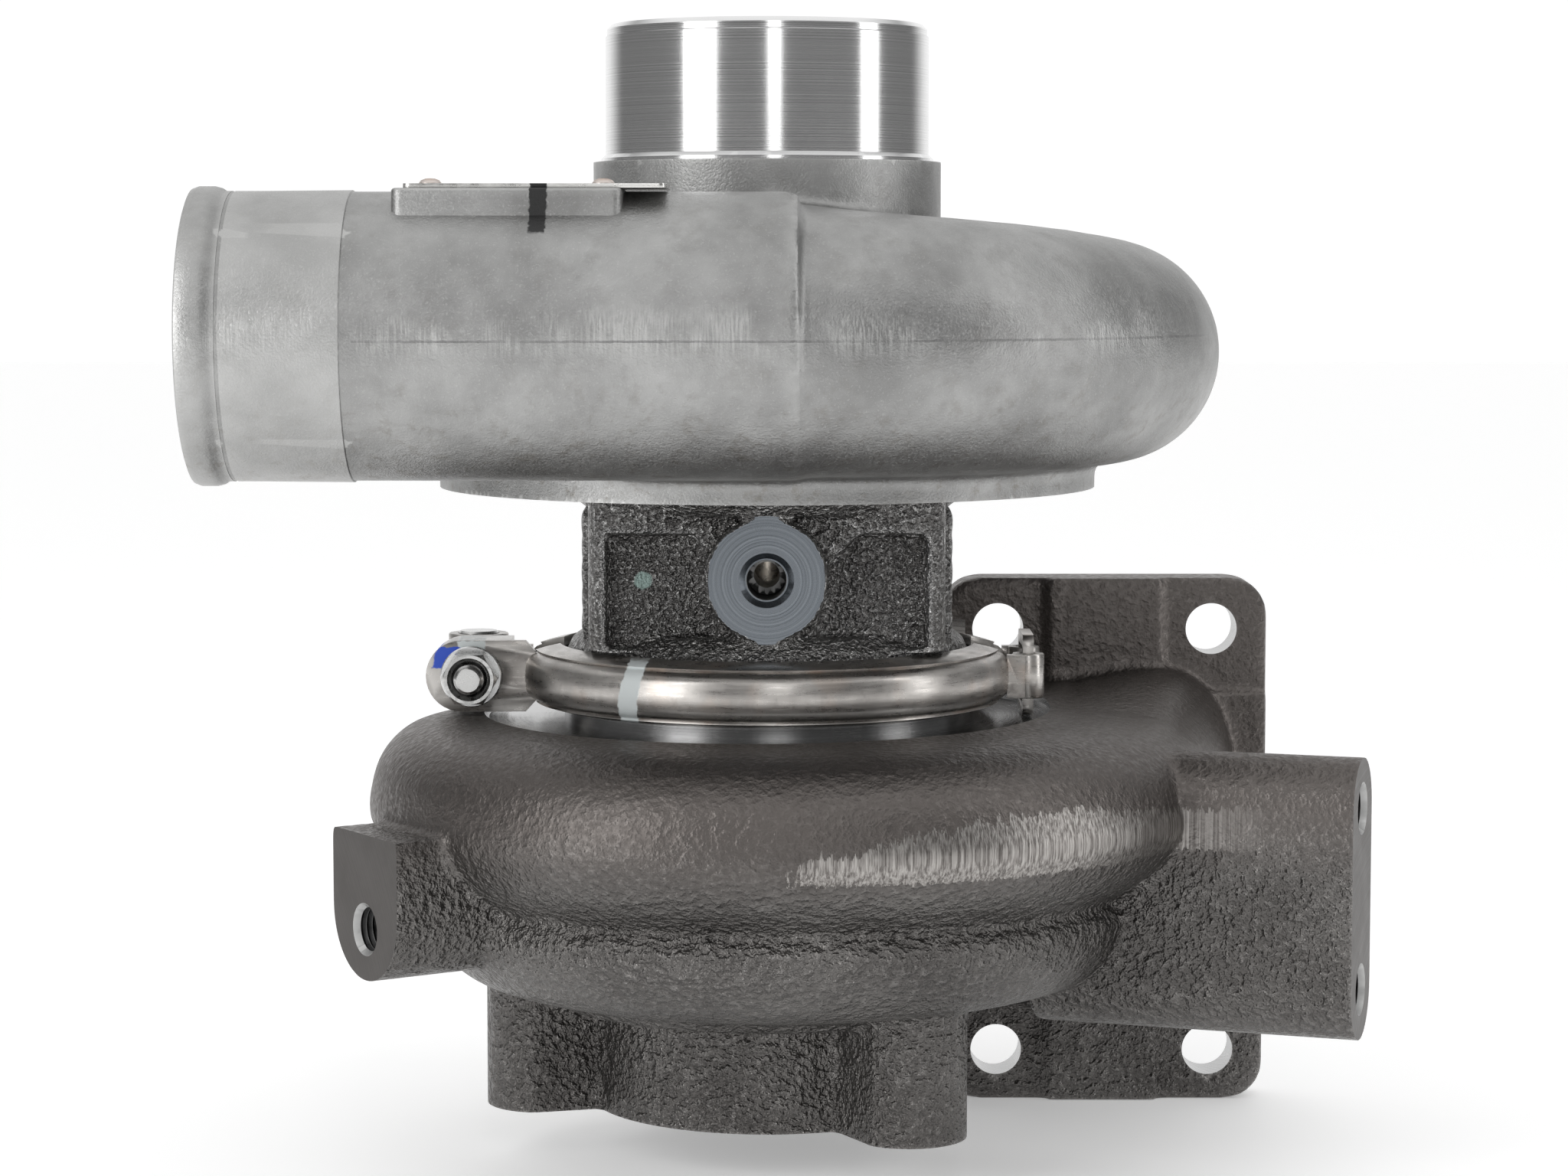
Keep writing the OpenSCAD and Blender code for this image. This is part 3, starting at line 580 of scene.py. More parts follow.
def plain_steel(name, dark, light, roughness, ink=False):
    """Small steel parts: zinc or ground finish with scuffs and rubbed edges, and a stroke of ink if asked."""
    n = material_nodes(name)
    cloud = n.noise(2.4, 4.0, 0.65)
    fine = n.noise(0.3, 2.0, 0.6)
    color = n.mix(n.remap(cloud, 0.35, 0.68), dark, light)
    color = n.mix(n.mul(n.edges(), 0.6), color, (0.86, 0.86, 0.85))
    rough = n.remap(cloud, 0.3, 0.7, roughness * 0.7, roughness * 1.4)
    normal = n.bump(fine, 0.2, 0.03)
    if ink:
        return painted(n, color, rough, normal, [(dab(n, *INK_STROKE), INK)])
    return n.done(color, rough, normal)


def rubber():
    n = material_nodes("seal_rubber")
    fine = n.noise(0.4, 3.0, 0.6)
    color = n.mix(fine, (0.012, 0.012, 0.013), (0.03, 0.03, 0.031))
    return n.done(color, n.remap(fine, 0.3, 0.7, 0.5, 0.7), n.bump(fine, 0.2, 0.03), metallic=0.0)


def pale_floor():
    n = material_nodes("pale_floor")
    fine = n.noise(40, 3.0, 0.5)
    color = n.mix(fine, (0.86, 0.86, 0.86), (0.90, 0.90, 0.90))
    rough = n.remap(fine, 0.3, 0.7, 0.6, 0.7)
    n.feed(n.inputs["Emission Color"], (1.0, 1.0, 1.0))
    n.feed(n.inputs["Emission Strength"], 0.30)
    return n.done(color, rough, metallic=0.0)


ALUMINIUM = cast_aluminium()
TURNED_ALUMINIUM = turned_metal("turned_aluminium", (0.60, 0.60, 0.60), (0.82, 0.82, 0.82), 0.14, 0.3)
WHEEL_ALUMINIUM = turned_metal("wheel_aluminium", (0.60, 0.61, 0.62), (0.82, 0.82, 0.83), 0.26, 0.5)
IRON = cast_iron(
    "cast_iron_grey", (0.19, 0.185, 0.18), (0.12, 0.116, 0.112), (0.80, 0.80, 0.79), 0.85, 1.0, painted_glint_share=0.6
)
BROWN_IRON = cast_iron(
    "cast_iron_brown", (0.155, 0.148, 0.142), (0.105, 0.099, 0.095), (0.30, 0.29, 0.28), 1.2, 1.0, ground=True
)
TURNED_IRON = turned_metal(
    "turned_iron", (0.22, 0.22, 0.22), (0.44, 0.44, 0.44), 0.24, 0.55, depth=0.04, worn=0.08
)
FACED_IRON = turned_metal(
    "faced_iron", (0.075, 0.070, 0.067), (0.135, 0.126, 0.120), 0.42, 0.6, axis="X", depth=0.03, worn=0.0
)
BOSS_IRON = turned_metal(
    "turned_boss", (0.095, 0.106, 0.120), (0.25, 0.272, 0.295), 0.22, 0.45, "Y", 0.10, (0, 0, OIL_Z), 0.0
)
# near-black walls for tapped holes and the oil passage: painted shade in their depths
HOLE_SHADE_IRON = plain_steel("hole_painted_shade", (0.02, 0.02, 0.02), (0.09, 0.09, 0.09), 0.5)
BAND = stainless_band()
STEEL = plain_steel("steel", (0.40, 0.41, 0.42), (0.66, 0.67, 0.68), 0.27)
BOLT_STEEL = plain_steel("bolt_steel", (0.10, 0.10, 0.098), (0.34, 0.34, 0.33), 0.26)
HOT_STEEL = plain_steel("hot_steel", (0.22, 0.18, 0.15), (0.42, 0.37, 0.32), 0.33)
BRONZE = plain_steel("bearing_bronze", (0.46, 0.30, 0.12), (0.72, 0.52, 0.25), 0.26)
COPPER = plain_steel("rivet_copper", (0.26, 0.13, 0.07), (0.46, 0.27, 0.16), 0.38)
NAME_PLATE = plain_steel("plate_aluminium", (0.50, 0.49, 0.46), (0.72, 0.71, 0.68), 0.30, ink=True)
RUBBER = rubber()


# ---- compressor cover ----


def scroll_bore(t):
    return SCROLL_R * math.sqrt(t)


def scroll_middle(t):
    late = max(0.0, t * 3.4 - 2.4)
    return DIFFUSER_R + scroll_bore(t) - (DIFFUSER_R + SCROLL_R - OUTLET_Y) * late


def scroll_turn(t):
    return math.radians(SCROLL_START - SCROLL_SWEEP * t)


def scroll_rings(skin, first, rings=110, sides=56):
    """Round sections that grow from the tongue to the outlet pipe."""
    made = []
    for i in range(rings + 1):
        t = first + (1 - first) * i / rings
        a, ring = scroll_turn(t), []
        for k in range(sides):
            b = 2 * math.pi * k / sides
            out = scroll_middle(t) + (scroll_bore(t) + skin) * math.cos(b)
            z = SCROLL_FLOOR_Z + scroll_bore(t) + (scroll_bore(t) + skin) * math.sin(b)
            ring.append(polar(out, a, z))
        made.append(ring)
    return made


def scroll_web_rings(rings=110):
    """The sloping deck between the scroll's crown and the collar, with the section's inner side filled in."""
    made = []
    for i in range(rings + 1):
        t = 0.02 + 0.98 * i / rings
        r, mid = scroll_bore(t) + SCROLL_WALL, scroll_middle(t)
        crown = SCROLL_FLOOR_Z + scroll_bore(t) + r
        deck = max(crown + 0.5, 168.0) - 1.0 + 2.2 * t
        shoulder = (mid + 0.45 * r, crown - 0.14 * r)
        section = [(30, 131), (mid, 131.5), shoulder, (mid, crown - 0.1), (30, deck)]
        made.append([polar(out, scroll_turn(t), z) for out, z in section])
    return made


def shroud(eye_r, tip_r, eye_z, tip_z, gap, steps=24):
    """A wall curve that turns from along the shaft to outwards, as (radius, height)."""
    points = []
    for i in range(steps + 1):
        a = math.pi / 2 * i / steps
        out = eye_r + gap + (tip_r - eye_r) * (1 - math.cos(a))
        points.append((out, eye_z + (tip_z - eye_z) * math.sin(a)))
    return points


def compressor_cover():
    end = (-OUTLET_LEN, -OUTLET_Y, OUTLET_Z)
    rim_r = COVER_RIM_R - 0.1
    foot = [(0, 124), (rim_r, 124), (rim_r, 133.5), (58, 139), (40, 150), (0, 150)]
    neck = [(0, 150), (46, 150), (38.5, 164), (COLLAR_R + 2.6, 172), (COLLAR_R, 178)]
    neck += [(COLLAR_R, 195), (0, 195)]
    rough = [
        sweep(scroll_rings(SCROLL_WALL - SKIN_SPARE, 0.01)),
        sweep(scroll_web_rings()),
        bar(OUTLET_R - 0.2, (-OUTLET_LEN + 2.5, -OUTLET_Y, OUTLET_Z), (6, -OUTLET_Y, OUTLET_Z), turns=96),
        lathe(foot),
        lathe(neck),
        bar(5.0, (0, -44, 170), (0, -44, 182.6), turns=32),
    ]
    body = casting("compressor_cover", rough, ALUMINIUM, voxel=1.0, rounds=5)
    hollow = [
        (0, COVER_LOW_Z - 6), (70, COVER_LOW_Z - 6), (70, COVER_LOW_Z), (61.2, COVER_LOW_Z), (61.2, 127.4),
        (64, 127.4), (64, 129.6), (61.2, 129.6), (61.2, 133), (51.2, 133), (51.2, PLATE_TOP_Z + 0.2),
        (57.5, PLATE_TOP_Z + 0.2), (57.5, DIFFUSER_TOP_Z),
        *reversed(shroud(WHEEL_EYE_R, WHEEL_TIP_R, 154, DIFFUSER_TOP_Z, 0.4)),
        (24.4, 172), (INLET_BORE_R, 196), (INLET_BORE_R, COLLAR_TOP_Z + 20), (0, COLLAR_TOP_Z + 20),
    ]
    above = [(INLET_R - 6, COLLAR_TOP_Z), (60, COLLAR_TOP_Z), (60, 230), (INLET_R - 6, 230)]
    cut(
        body,
        lathe(above, TURNED_ALUMINIUM, turns=160),
        lathe(hollow, TURNED_ALUMINIUM, turns=192),
        sweep(scroll_rings(0, 0.07), ALUMINIUM),
        bar(OUTLET_BORE_R, (end[0] - 5, end[1], end[2]), (1.5, end[1], end[2]), ALUMINIUM, 96),
        block((-140, -110, 100), (-OUTLET_LEN + 0.9, -30, 220), TURNED_ALUMINIUM),
    )
    inlet = [
        (INLET_BORE_R, 190.5), (INLET_R + 0.9, 190.5), (INLET_R + 0.9, COLLAR_TOP_Z + 0.7),
        (INLET_R, COLLAR_TOP_Z + 1.5), (INLET_R, INLET_TOP_Z - 2.4), (INLET_R - 0.35, INLET_TOP_Z - 2.2),
        (INLET_R - 0.35, INLET_TOP_Z - 0.9), (INLET_R - 1.2, INLET_TOP_Z), (INLET_BORE_R + 1.0, INLET_TOP_Z),
        (INLET_BORE_R, INLET_TOP_Z - 1.0),
    ]
    bead_r, pipe_r = OUTLET_BEAD_R - 0.03, OUTLET_R - 0.1
    bead = [
        (OUTLET_BORE_R, 0), (OUTLET_BEAD_R - 1.4, 0), (OUTLET_BEAD_R - 0.4, 0.35), (bead_r, 1.4),
        (bead_r, 4.2), (OUTLET_BEAD_R - 0.35, 5.4), (pipe_r, 6.2), (pipe_r, 7.4), (OUTLET_R - 0.5, 7.5),
        (OUTLET_R - 0.5, 8.0), (pipe_r, 8.1), (pipe_r, 13), (OUTLET_R + 0.05, 29.6), (OUTLET_R - 0.6, 30.1),
        (OUTLET_BORE_R, 30.1),
    ]
    under_plate = Matrix.Translation((-47, PLATE_Y, 176))
    pad = prism(round_rectangle(42, 28, 2), PAD_TOP_Z - 176, under_plate, ALUMINIUM)
    add(
        body,
        lathe(inlet, TURNED_ALUMINIUM, turns=192),
        lathe(bead, ALUMINIUM, at=end, along=(1, 0, 0), turns=128),
        soft_edges(pad, 0.6, 3),
    )
    place(body, "housing", "compressor_cover")


def name_plate():
    level = PAD_TOP_Z + 0.05
    on_pad = Matrix.Translation((-42, PLATE_Y, level))
    plate = prism(round_rectangle(48, 24, 1.5), 0.8, on_pad, NAME_PLATE)
    head = [(0, -0.4), (1.2, -0.4), (1.2, 0.8), (2.1, 0.8), (2.1, 1.1), (1.7, 1.6), (0.9, 1.9), (0, 1.95)]
    rivets = []
    for x in RIVETS_X:
        cut(plate, bar(1.3, (x, PLATE_Y, 183), (x, PLATE_Y, 187), NAME_PLATE, 24))
        rivets.append(lathe(head, COPPER, at=(x, PLATE_Y, level), turns=40))
    soft_edges(plate, 0.12)
    place(plate, "housing", "name_plate")
    place(join(rivets, "rivets"), "housing", "name_plate_rivets")


# ---- bearing housing ----


def bearing_housing():
    half_w, half_d = BODY_W / 2, BODY_D / 2
    box = prism(round_rectangle(BODY_W, BODY_D, 7), 32, Matrix.Translation((0, 0, 95)))
    recesses = (
        [(-31.5, -13), (-31.5, 9.5), (-13.5, 9.5), (-11.8, 3), (-10.5, -6), (-8.5, -13)],
        [(31.5, -13), (31.5, 9.5), (18, 9.5), (12.2, 3.5), (10.5, -6), (8.5, -13)],
    )
    cut(box, *[prism(outline, 20, facing_front(0, -half_d + 4.0, 109)) for outline in recesses])
    rib = [(-5.2, -14), (5.2, -14), (1.2, 0), (2.2, 14), (-2.2, 14), (-1.2, 0)]
    rough = [
        box,
        lathe([(0, 122.3), (37.2, 122.3), (41, 125.5), (41, 131), (0, 131)]),
        lathe([(0, 86), (41, 86), (41, 93), (39.8, 95.6), (36, 98), (0, 98)]),
        bar(11.9, (0, -OIL_FACE_Y - 0.3, OIL_Z), (0, -18, OIL_Z)),
        prism(rib, 20, facing_front(0, -14, OIL_Z)),
        prism(round_rectangle(62, 28, 13), 20, facing_front(0, DRAIN_FACE_Y + 2, DRAIN_Z)),
    ]
    for side in (-1, 1):
        for k in range(5):  # cast beads up each side
            y, z = -14 + k % 2, 99.5 + 5.1 * k
            rough.append(bar(2.35, (side * (half_w - 3), y, z), (side * (half_w + 1.9), y, z), turns=24))
    body = casting("bearing_housing", rough, IRON, voxel=0.85, rounds=4)
    flange = [
        (20, JOINT_Z), (45, JOINT_Z), (45, JOINT_Z + 3.4), (41.5, JOINT_Z + 4.67), (39, JOINT_Z + 4.8),
        (20, JOINT_Z + 4.8),
    ]
    top = [
        (12, 127.5), (12, 137), (50.4, 137), (51, 136.4), (51, 133), (60.5, 133), (61, 132.5), (61, 129.5),
        (38, 129.5),
    ]
    nose = [(7, 60.5), (17, 60.5), (21, 66), (27.5, JOINT_Z + 0.5), (12, JOINT_Z + 0.5)]
    cut(
        body,
        block((-80, -80, 70), (80, 80, JOINT_Z), TURNED_IRON),
        block((-80, -80, 129.5), (80, 80, 150), TURNED_IRON),
        bar(12.6, (0, -60, OIL_Z), (0, -OIL_FACE_Y, OIL_Z), BOSS_IRON),
        block((-40, DRAIN_FACE_Y, 80), (40, 60, 125), BOSS_IRON),
        lathe([(41, 70), (80, 70), (80, 95.2), (41, 95.2)], IRON),
    )
    for outline, turns in ((flange, 160), (top, 192), (nose, 128)):
        add(body, lathe(outline, TURNED_IRON, turns=turns))
    cut(body, lathe([(59.3, 130.6), (63, 130.6), (63, 132.4), (59.3, 132.4)], TURNED_IRON, turns=192))
    core = [
        (0, 55), (8.6, 55), (8.6, 66), (8, 66), (8, 113.6), (10.5, 113.6), (10.5, 116.5), (20.5, 116.5),
        (20.5, 125), (24.2, 125), (24.2, 133.5), (26, 133.5), (26, 135.4), (24.2, 135.4), (24.2, 138),
        (0, 138),
    ]
    mouth, toward = (0, -OIL_FACE_Y, OIL_Z), (0, -1, 0)
    countersink = [(0, -1.1), (OIL_HOLE_R - 0.05, -1.1), (OIL_HOLE_R + 2.1, 1.0), (0, 1.0)]
    # the oil hole and the passage behind it get near-black walls: painted shade
    cut(
        body,
        lathe(core, TURNED_IRON),
        threaded_hole(mouth, toward, OIL_HOLE_R - 0.4, 14.0, 1.0),
        lathe(countersink, BOSS_IRON, at=mouth, along=toward, turns=48),
        bar(2.6, (0, -30, OIL_Z), (0, -4, OIL_Z), HOLE_SHADE_IRON, 32),
        bar(DRAIN_R, (0, 20, DRAIN_Z), (0, DRAIN_FACE_Y + 2, DRAIN_Z), BOSS_IRON),
    )
    cavity = lathe([(13, 94), (25, 94), (25, 112), (13, 112)], IRON)
    cut(cavity, block((-9, -30, 90), (9, 0, 116), IRON))
    cut(body, cavity)
    for side in (-1, 1):
        x = side * DRAIN_SPACING / 2
        cut(body, bar(3.4, (x, DRAIN_FACE_Y - 15, DRAIN_Z), (x, DRAIN_FACE_Y + 2, DRAIN_Z), BOSS_IRON, 32))
    place(body, "housing", "bearing_housing")


# ---- turbine housing ----

REACH = ((0, 92), (45, 89), (90, 85.5), (180, 81), (270, 65), (305, 55))
SHRINK = ((0, 1), (180, 1), (305, 0.82))
BODY_SECTION = (
    (0, 27), (0.42, 26.4), (0.62, 29.0), (0.75, 36.0), (0.785, 42.5), (0.75, 46.0), (0.80, 48.4),
    (0.91, 53.0), (0.985, 58.6), (1.0, 61.5), (0.995, 65.0), (0.955, 71.5), (0.86, 76.6), (0.72, 79.4),
    (0.50, 80.2), (0, 80.0),
)
BODY_DUCT = (
    (44, 16), (56, 9.5), (66, 8.5), (78, 8.5), (88, 9), (96, 12.5), (100, 18), (102, 28), (102, 40),
    (102, 50), (102, 60), (101, 70), (97, 80), (86, 85.5), (66, 82), (44, 74),
)
UPPER_SECTION = ((0, 48.2), (0.72, 49.5), (0.93, 55), (1, 63), (0.9, 71), (0.65, 75.5), (0.35, 70), (0, 53))
UPPER_DUCT = ((53.5, 50), (76, 50), (91.5, 51), (91.5, 62), (91.5, 74), (80, 76.5), (64, 74.5), (53.5, 68))
LOWER_SECTION = ((0, 41), (0.3, 33), (0.6, 30.5), (0.9, 33), (1, 38), (0.95, 43.5), (0.7, 45.5), (0, 45.8))
LOWER_DUCT = ((53.5, 26), (56, 19), (72, 17.5), (88, 19), (91.5, 30), (91.5, 43), (76, 44), (53.5, 44))


def volute_ring(outline, inner_r, skin, turn):
    a = math.radians(turn)
    reach, shrink = between(turn, REACH) - skin, between(turn, SHRINK)
    ring = []
    for share, height in outline:
        out = inner_r + (reach - inner_r) * share
        ring.append((out * math.cos(a), -out * math.sin(a), 47 + (height - 47) * shrink))
    return ring


def passage(section, duct, skin):
    rings = [[(x, y, z) for x, z in duct] for y in (GAS_BACK_Y + 1, GAS_FRONT_Y)]
    rings += [volute_ring(section, 44, skin, turn) for turn in range(0, 281, 4)]
    return sweep(rings, BROWN_IRON)


def exhaust_rim(grow):
    """The pipe's outline with its three lobes, as (x, y) points."""
    outline, lobe_r = [], LOBE_R + grow
    for i in range(180):
        a = math.radians(2 * i)
        r = EXHAUST_WALL_R + grow
        for lobe in LOBES:
            turn = a - math.radians(lobe)
            across = EXHAUST_BOLT_R * math.sin(turn)
            if math.cos(turn) > 0 and abs(across) < lobe_r:
                r = max(r, EXHAUST_BOLT_R * math.cos(turn) + math.sqrt(lobe_r**2 - across**2))
        outline.append((r * math.cos(a), r * math.sin(a)))
    return outline


def lug_frame(angle, start):
    """Outline x runs round the shaft, outline y runs up, depth runs outwards."""
    a = math.radians(angle)
    out = Vector((math.cos(a), math.sin(a), 0))
    side = Vector((-math.sin(a), math.cos(a), 0))
    turn = Matrix((side, Vector((0, 0, 1)), out)).transposed().to_4x4()
    return Matrix.Translation(out * start) @ turn


def left_lug_outline():
    half, top = LEFT_LUG["half"], LEFT_LUG["top"]
    return [(half, top), (-half, top), *arc(half, 180, 361, middle=(0, LEFT_LUG["middle"]))]


def right_lug_outline():
    half, (low, high) = RIGHT_LUG["half"], RIGHT_LUG["holes"]
    return arc(half, 180, 361, middle=(0, low)) + arc(half, 0, 181, middle=(0, high))


def lug_face(lug):
    corners = [(-40, 0), (40, 0), (40, 90), (-40, 90)]
    return prism(corners, 20, lug_frame(lug["angle"], lug["reach"]), FACED_IRON)


def gas_flange_pads():
    """Shallow corner steps on the flange's near face; the upper right one is rounded towards the middle."""
    tools = []
    for sx, sz in CORNERS:
        outline = round_rectangle(58, 62, 11 if (sx, sz) == (1, 1) else 3)
        cx, cz = GAS_X + sx * (GAS_W / 2 + 6), GAS_Z + sz * (GAS_H / 2 + 6)
        tools.append(prism(outline, 8, facing_front(cx, GAS_FRONT_Y + 1.5, cz)))
    return tools


def turbine_housing():
    section = smooth_outline(BODY_SECTION)
    rings = [[(x, GAS_FRONT_Y + 6, z) for x, z in smooth_outline(BODY_DUCT)]]
    rings += [volute_ring(section, 34, 0, turn) for turn in range(0, 301, 3)]
    at = facing_front(GAS_X, GAS_BACK_Y + 2, GAS_Z)
    plate = prism(round_rectangle(GAS_W, GAS_H, 8), GAS_BACK_Y - GAS_FRONT_Y + 2, at)
    cut(plate, *gas_flange_pads())
    rough = [
        sweep(rings),
        plate,
        lathe([(0, 22), (38, 22), (42, 30), (42, 78), (40.5, 79), (40.5, 86), (0, 86)]),
        prism(exhaust_rim(-0.1), 33, Matrix.Translation((0, 0, -3))),
        lathe([(0, 22), (46, 22), (54, 32), (54, 40), (0, 40)]),
        prism(left_lug_outline(), LEFT_LUG["reach"] - 48, lug_frame(LEFT_LUG["angle"], 50)),
        prism(right_lug_outline(), RIGHT_LUG["reach"] - 56, lug_frame(RIGHT_LUG["angle"], 58)),
    ]
    body = casting("turbine_housing", rough, BROWN_IRON, voxel=1.0, rounds=5)
    footprint = [(-65, -65), (60, -65), (60, 30), (34, 30), (34, 62), (-65, 62)]  # all but the gas flange
    deep_r = ANNULUS_R - 1
    recess = [(0, ANNULUS_Z), (deep_r, ANNULUS_Z), (ANNULUS_R, ANNULUS_Z + 1), (ANNULUS_R, 95), (0, 95)]
    cut(
        body,
        prism(footprint, 15, Matrix.Translation((0, 0, -15)), TURNED_IRON),
        block((GAS_X - GAS_W / 2 - 0.5, GAS_BACK_Y, -20), (GAS_X + 60, GAS_BACK_Y + 12, 130), TURNED_IRON),
        lug_face(LEFT_LUG),
        lug_face(RIGHT_LUG),
        lathe(recess, TURNED_IRON, turns=192),
    )
    neck = [
        (20, 77), (41.5, 77), (41.5, 82.2), (40.5, 82.6), (40.5, JOINT_Z - 4.9), (41.5, JOINT_Z - 4.67),
        (45, JOINT_Z - 3.4), (45, JOINT_Z), (20, JOINT_Z),
    ]
    add(body, lathe(neck, TURNED_IRON, turns=192))
    inside = [
        (0, -2), (EXHAUST_R + 0.6, -2), (EXHAUST_R, 0.6), (EXHAUST_R, 20), (TURBINE_EYE_R + 0.4, 27),
        *shroud(TURBINE_EYE_R, TURBINE_TIP_R, 30, 41, 0.4), (31.4, 86.6), (36.2, 86.6), (36.2, 90), (0, 90),
    ]
    cut(body, lathe(inside, TURNED_IRON, turns=160))
    for low, high in ((41.3, 45.6), (48.4, 52.8)):
        cut(body, lathe([(29, low), (47, low), (47, high), (29, high)], TURNED_IRON))
    cut(body, passage(UPPER_SECTION, UPPER_DUCT, 5.5), passage(LOWER_SECTION, LOWER_DUCT, 16))
    for lobe in LOBES:
        at = Vector((math.cos(math.radians(lobe)), math.sin(math.radians(lobe)), 0)) * EXHAUST_BOLT_R
        cut(body, threaded_hole(at, (0, 0, -1)))
    for sx, sz in CORNERS:
        x, z = GAS_X + sx * GAS_DX / 2, GAS_Z + sz * GAS_DZ / 2
        cut(body, bar(GAS_HOLE_R, (x, GAS_FRONT_Y - 6, z), (x, GAS_BACK_Y + 2, z), TURNED_IRON))
    for lug in (LEFT_LUG, RIGHT_LUG):
        a = math.radians(lug["angle"])
        out = Vector((math.cos(a), math.sin(a), 0))
        for z in lug["holes"]:
            cut(body, threaded_hole(out * lug["reach"] + Vector((0, 0, z)), out))
    place(body, "housing", "turbine_housing")


def threaded_hole(mouth, out, radius=LUG_HOLE_R, depth=20.0, pitch=1.25):
    """A blind tapped hole: rings of thread between the tapping radius and the bolt's own, with near-black
    walls as painted shade.
    """
    outline = [(0, -depth), (radius, -depth)]
    h = -depth + pitch
    while h < -1.6:
        outline += [(radius, h), (radius + 0.55, h + pitch / 2)]
        h += pitch
    outline += [(radius, -1.2), (radius + 0.9, 0), (radius + 0.9, 1), (0, 1)]
    return lathe(outline, HOLE_SHADE_IRON, at=tuple(mouth), along=tuple(out), turns=48)


# ---- clamp ----

BAND_STOP = 9
LINK_X, LINK_Y = 53.0, 7.0


def band_section():
    """The V-shaped strip's cross-section about the joint plane, with a rounded crown."""
    outer = [(42.6, 6.5), (45.5, 5.9), (47.6, 5.3)]
    for i in range(9):
        a = math.radians(78 - 156 * i / 8)
        half_flat = 1.55 * ((a > 0) - (a < 0))
        outer.append((46.6 + 3.4 * math.cos(a), half_flat + 3.4 * math.sin(a)))
    outer += [(47.6, -5.3), (45.5, -5.9), (42.6, -6.5)]
    inner = [(42.6, -4.6), (47.0, -3.0), (48.1, -2.0), (48.3, 0), (48.1, 2.0), (47.0, 3.0), (42.6, 4.6)]
    return outer + inner


def half_band(side):
    rings = []
    for i in range(91):
        a = math.radians(BAND_STOP + (180 - 2 * BAND_STOP) * i / 90) * side
        rings.append([polar(r, a, JOINT_Z + h) for r, h in band_section()])
    return sweep(rings, BAND)


def hinge_roll(side):
    outline = [(1.65, -4.5), (3.1, -4.5), (3.3, -4.2), (3.3, 4.2), (3.1, 4.5), (1.65, 4.5)]
    roll = lathe(outline, BAND, at=(LINK_X, side * LINK_Y, JOINT_Z), turns=48)
    low, high = sorted((side * 8.1, side * 10.2))
    return add(roll, block((48.6, low, JOINT_Z - 4.4), (LINK_X, high, JOINT_Z + 4.4), BAND))


def front_band():
    band = add(half_band(-1), hinge_roll(-1))
    bend = dict(first=90, last=271, middle=(-2.0, 0))
    face = [(11, -7.2), (13, -5), (13, 5), (11, 7.2), *arc(7.25, **bend)]
    add(band, prism(face, 2.2, facing_front(-BOLT_X, -7, JOINT_Z), BAND))
    inner = arc(5.4, **bend)[::-1]
    strap = [(8, 7.25), *arc(7.25, **bend), (8, -7.25), (8, -5.4), *inner, (8, 5.4)]
    add(band, prism(strap, 11, facing_front(-BOLT_X, 1.8, JOINT_Z), BAND))
    cut(band, bar(3.4, (-BOLT_X, -20, JOINT_Z), (-BOLT_X, 0, JOINT_Z), BAND, 48))
    soft_edges(band, 0.25)
    place(band, "housing", "clamp_front_band")


def rear_band():
    band = add(half_band(1), hinge_roll(1))
    add(band, block((-64.5, 6.8, JOINT_Z - 4.8), (-48.6, 9.0, JOINT_Z + 4.8), BAND))
    eye = [(4.3, -7), (6.0, -7), (6.2, -6.8), (6.2, 6.8), (6.0, 7), (4.3, 7)]
    add(band, lathe(eye, BAND, at=(-BOLT_X, 10, JOINT_Z), turns=64))
    cut(band, bar(3.4, (-BOLT_X, 0, JOINT_Z), (-BOLT_X, 10, JOINT_Z), BAND, 48))
    soft_edges(band, 0.25)
    place(band, "housing", "clamp_rear_band")


def hinge_link():
    side = Matrix(((0, 0, 1, 0), (1, 0, 0, 0), (0, 1, 0, 0), (0, 0, 0, 1)))
    side = Matrix.Translation((LINK_X - 1.1, 0, JOINT_Z)) @ side
    link = prism(round_rectangle(2 * LINK_Y + 2.2, 16.5, 2.4), 2.2, side, BAND)
    window = round_rectangle(2 * LINK_Y - 2.2, 11.5, 1.2)
    cut(link, prism(window, 6, side @ Matrix.Translation((0, 0, -2)), BAND))
    soft_edges(link, 0.3)
    place(link, "housing", "clamp_hinge_link")


def thread_outline(radius, start, end, pitch=1.0):
    """The side of a screw as rings, from start to end along its axis."""
    points, h = [], start
    while h + pitch <= end:
        points += [(radius - 0.45, h), (radius, h + pitch / 2)]
        h += pitch
    return [*points, (radius - 0.45, end)]


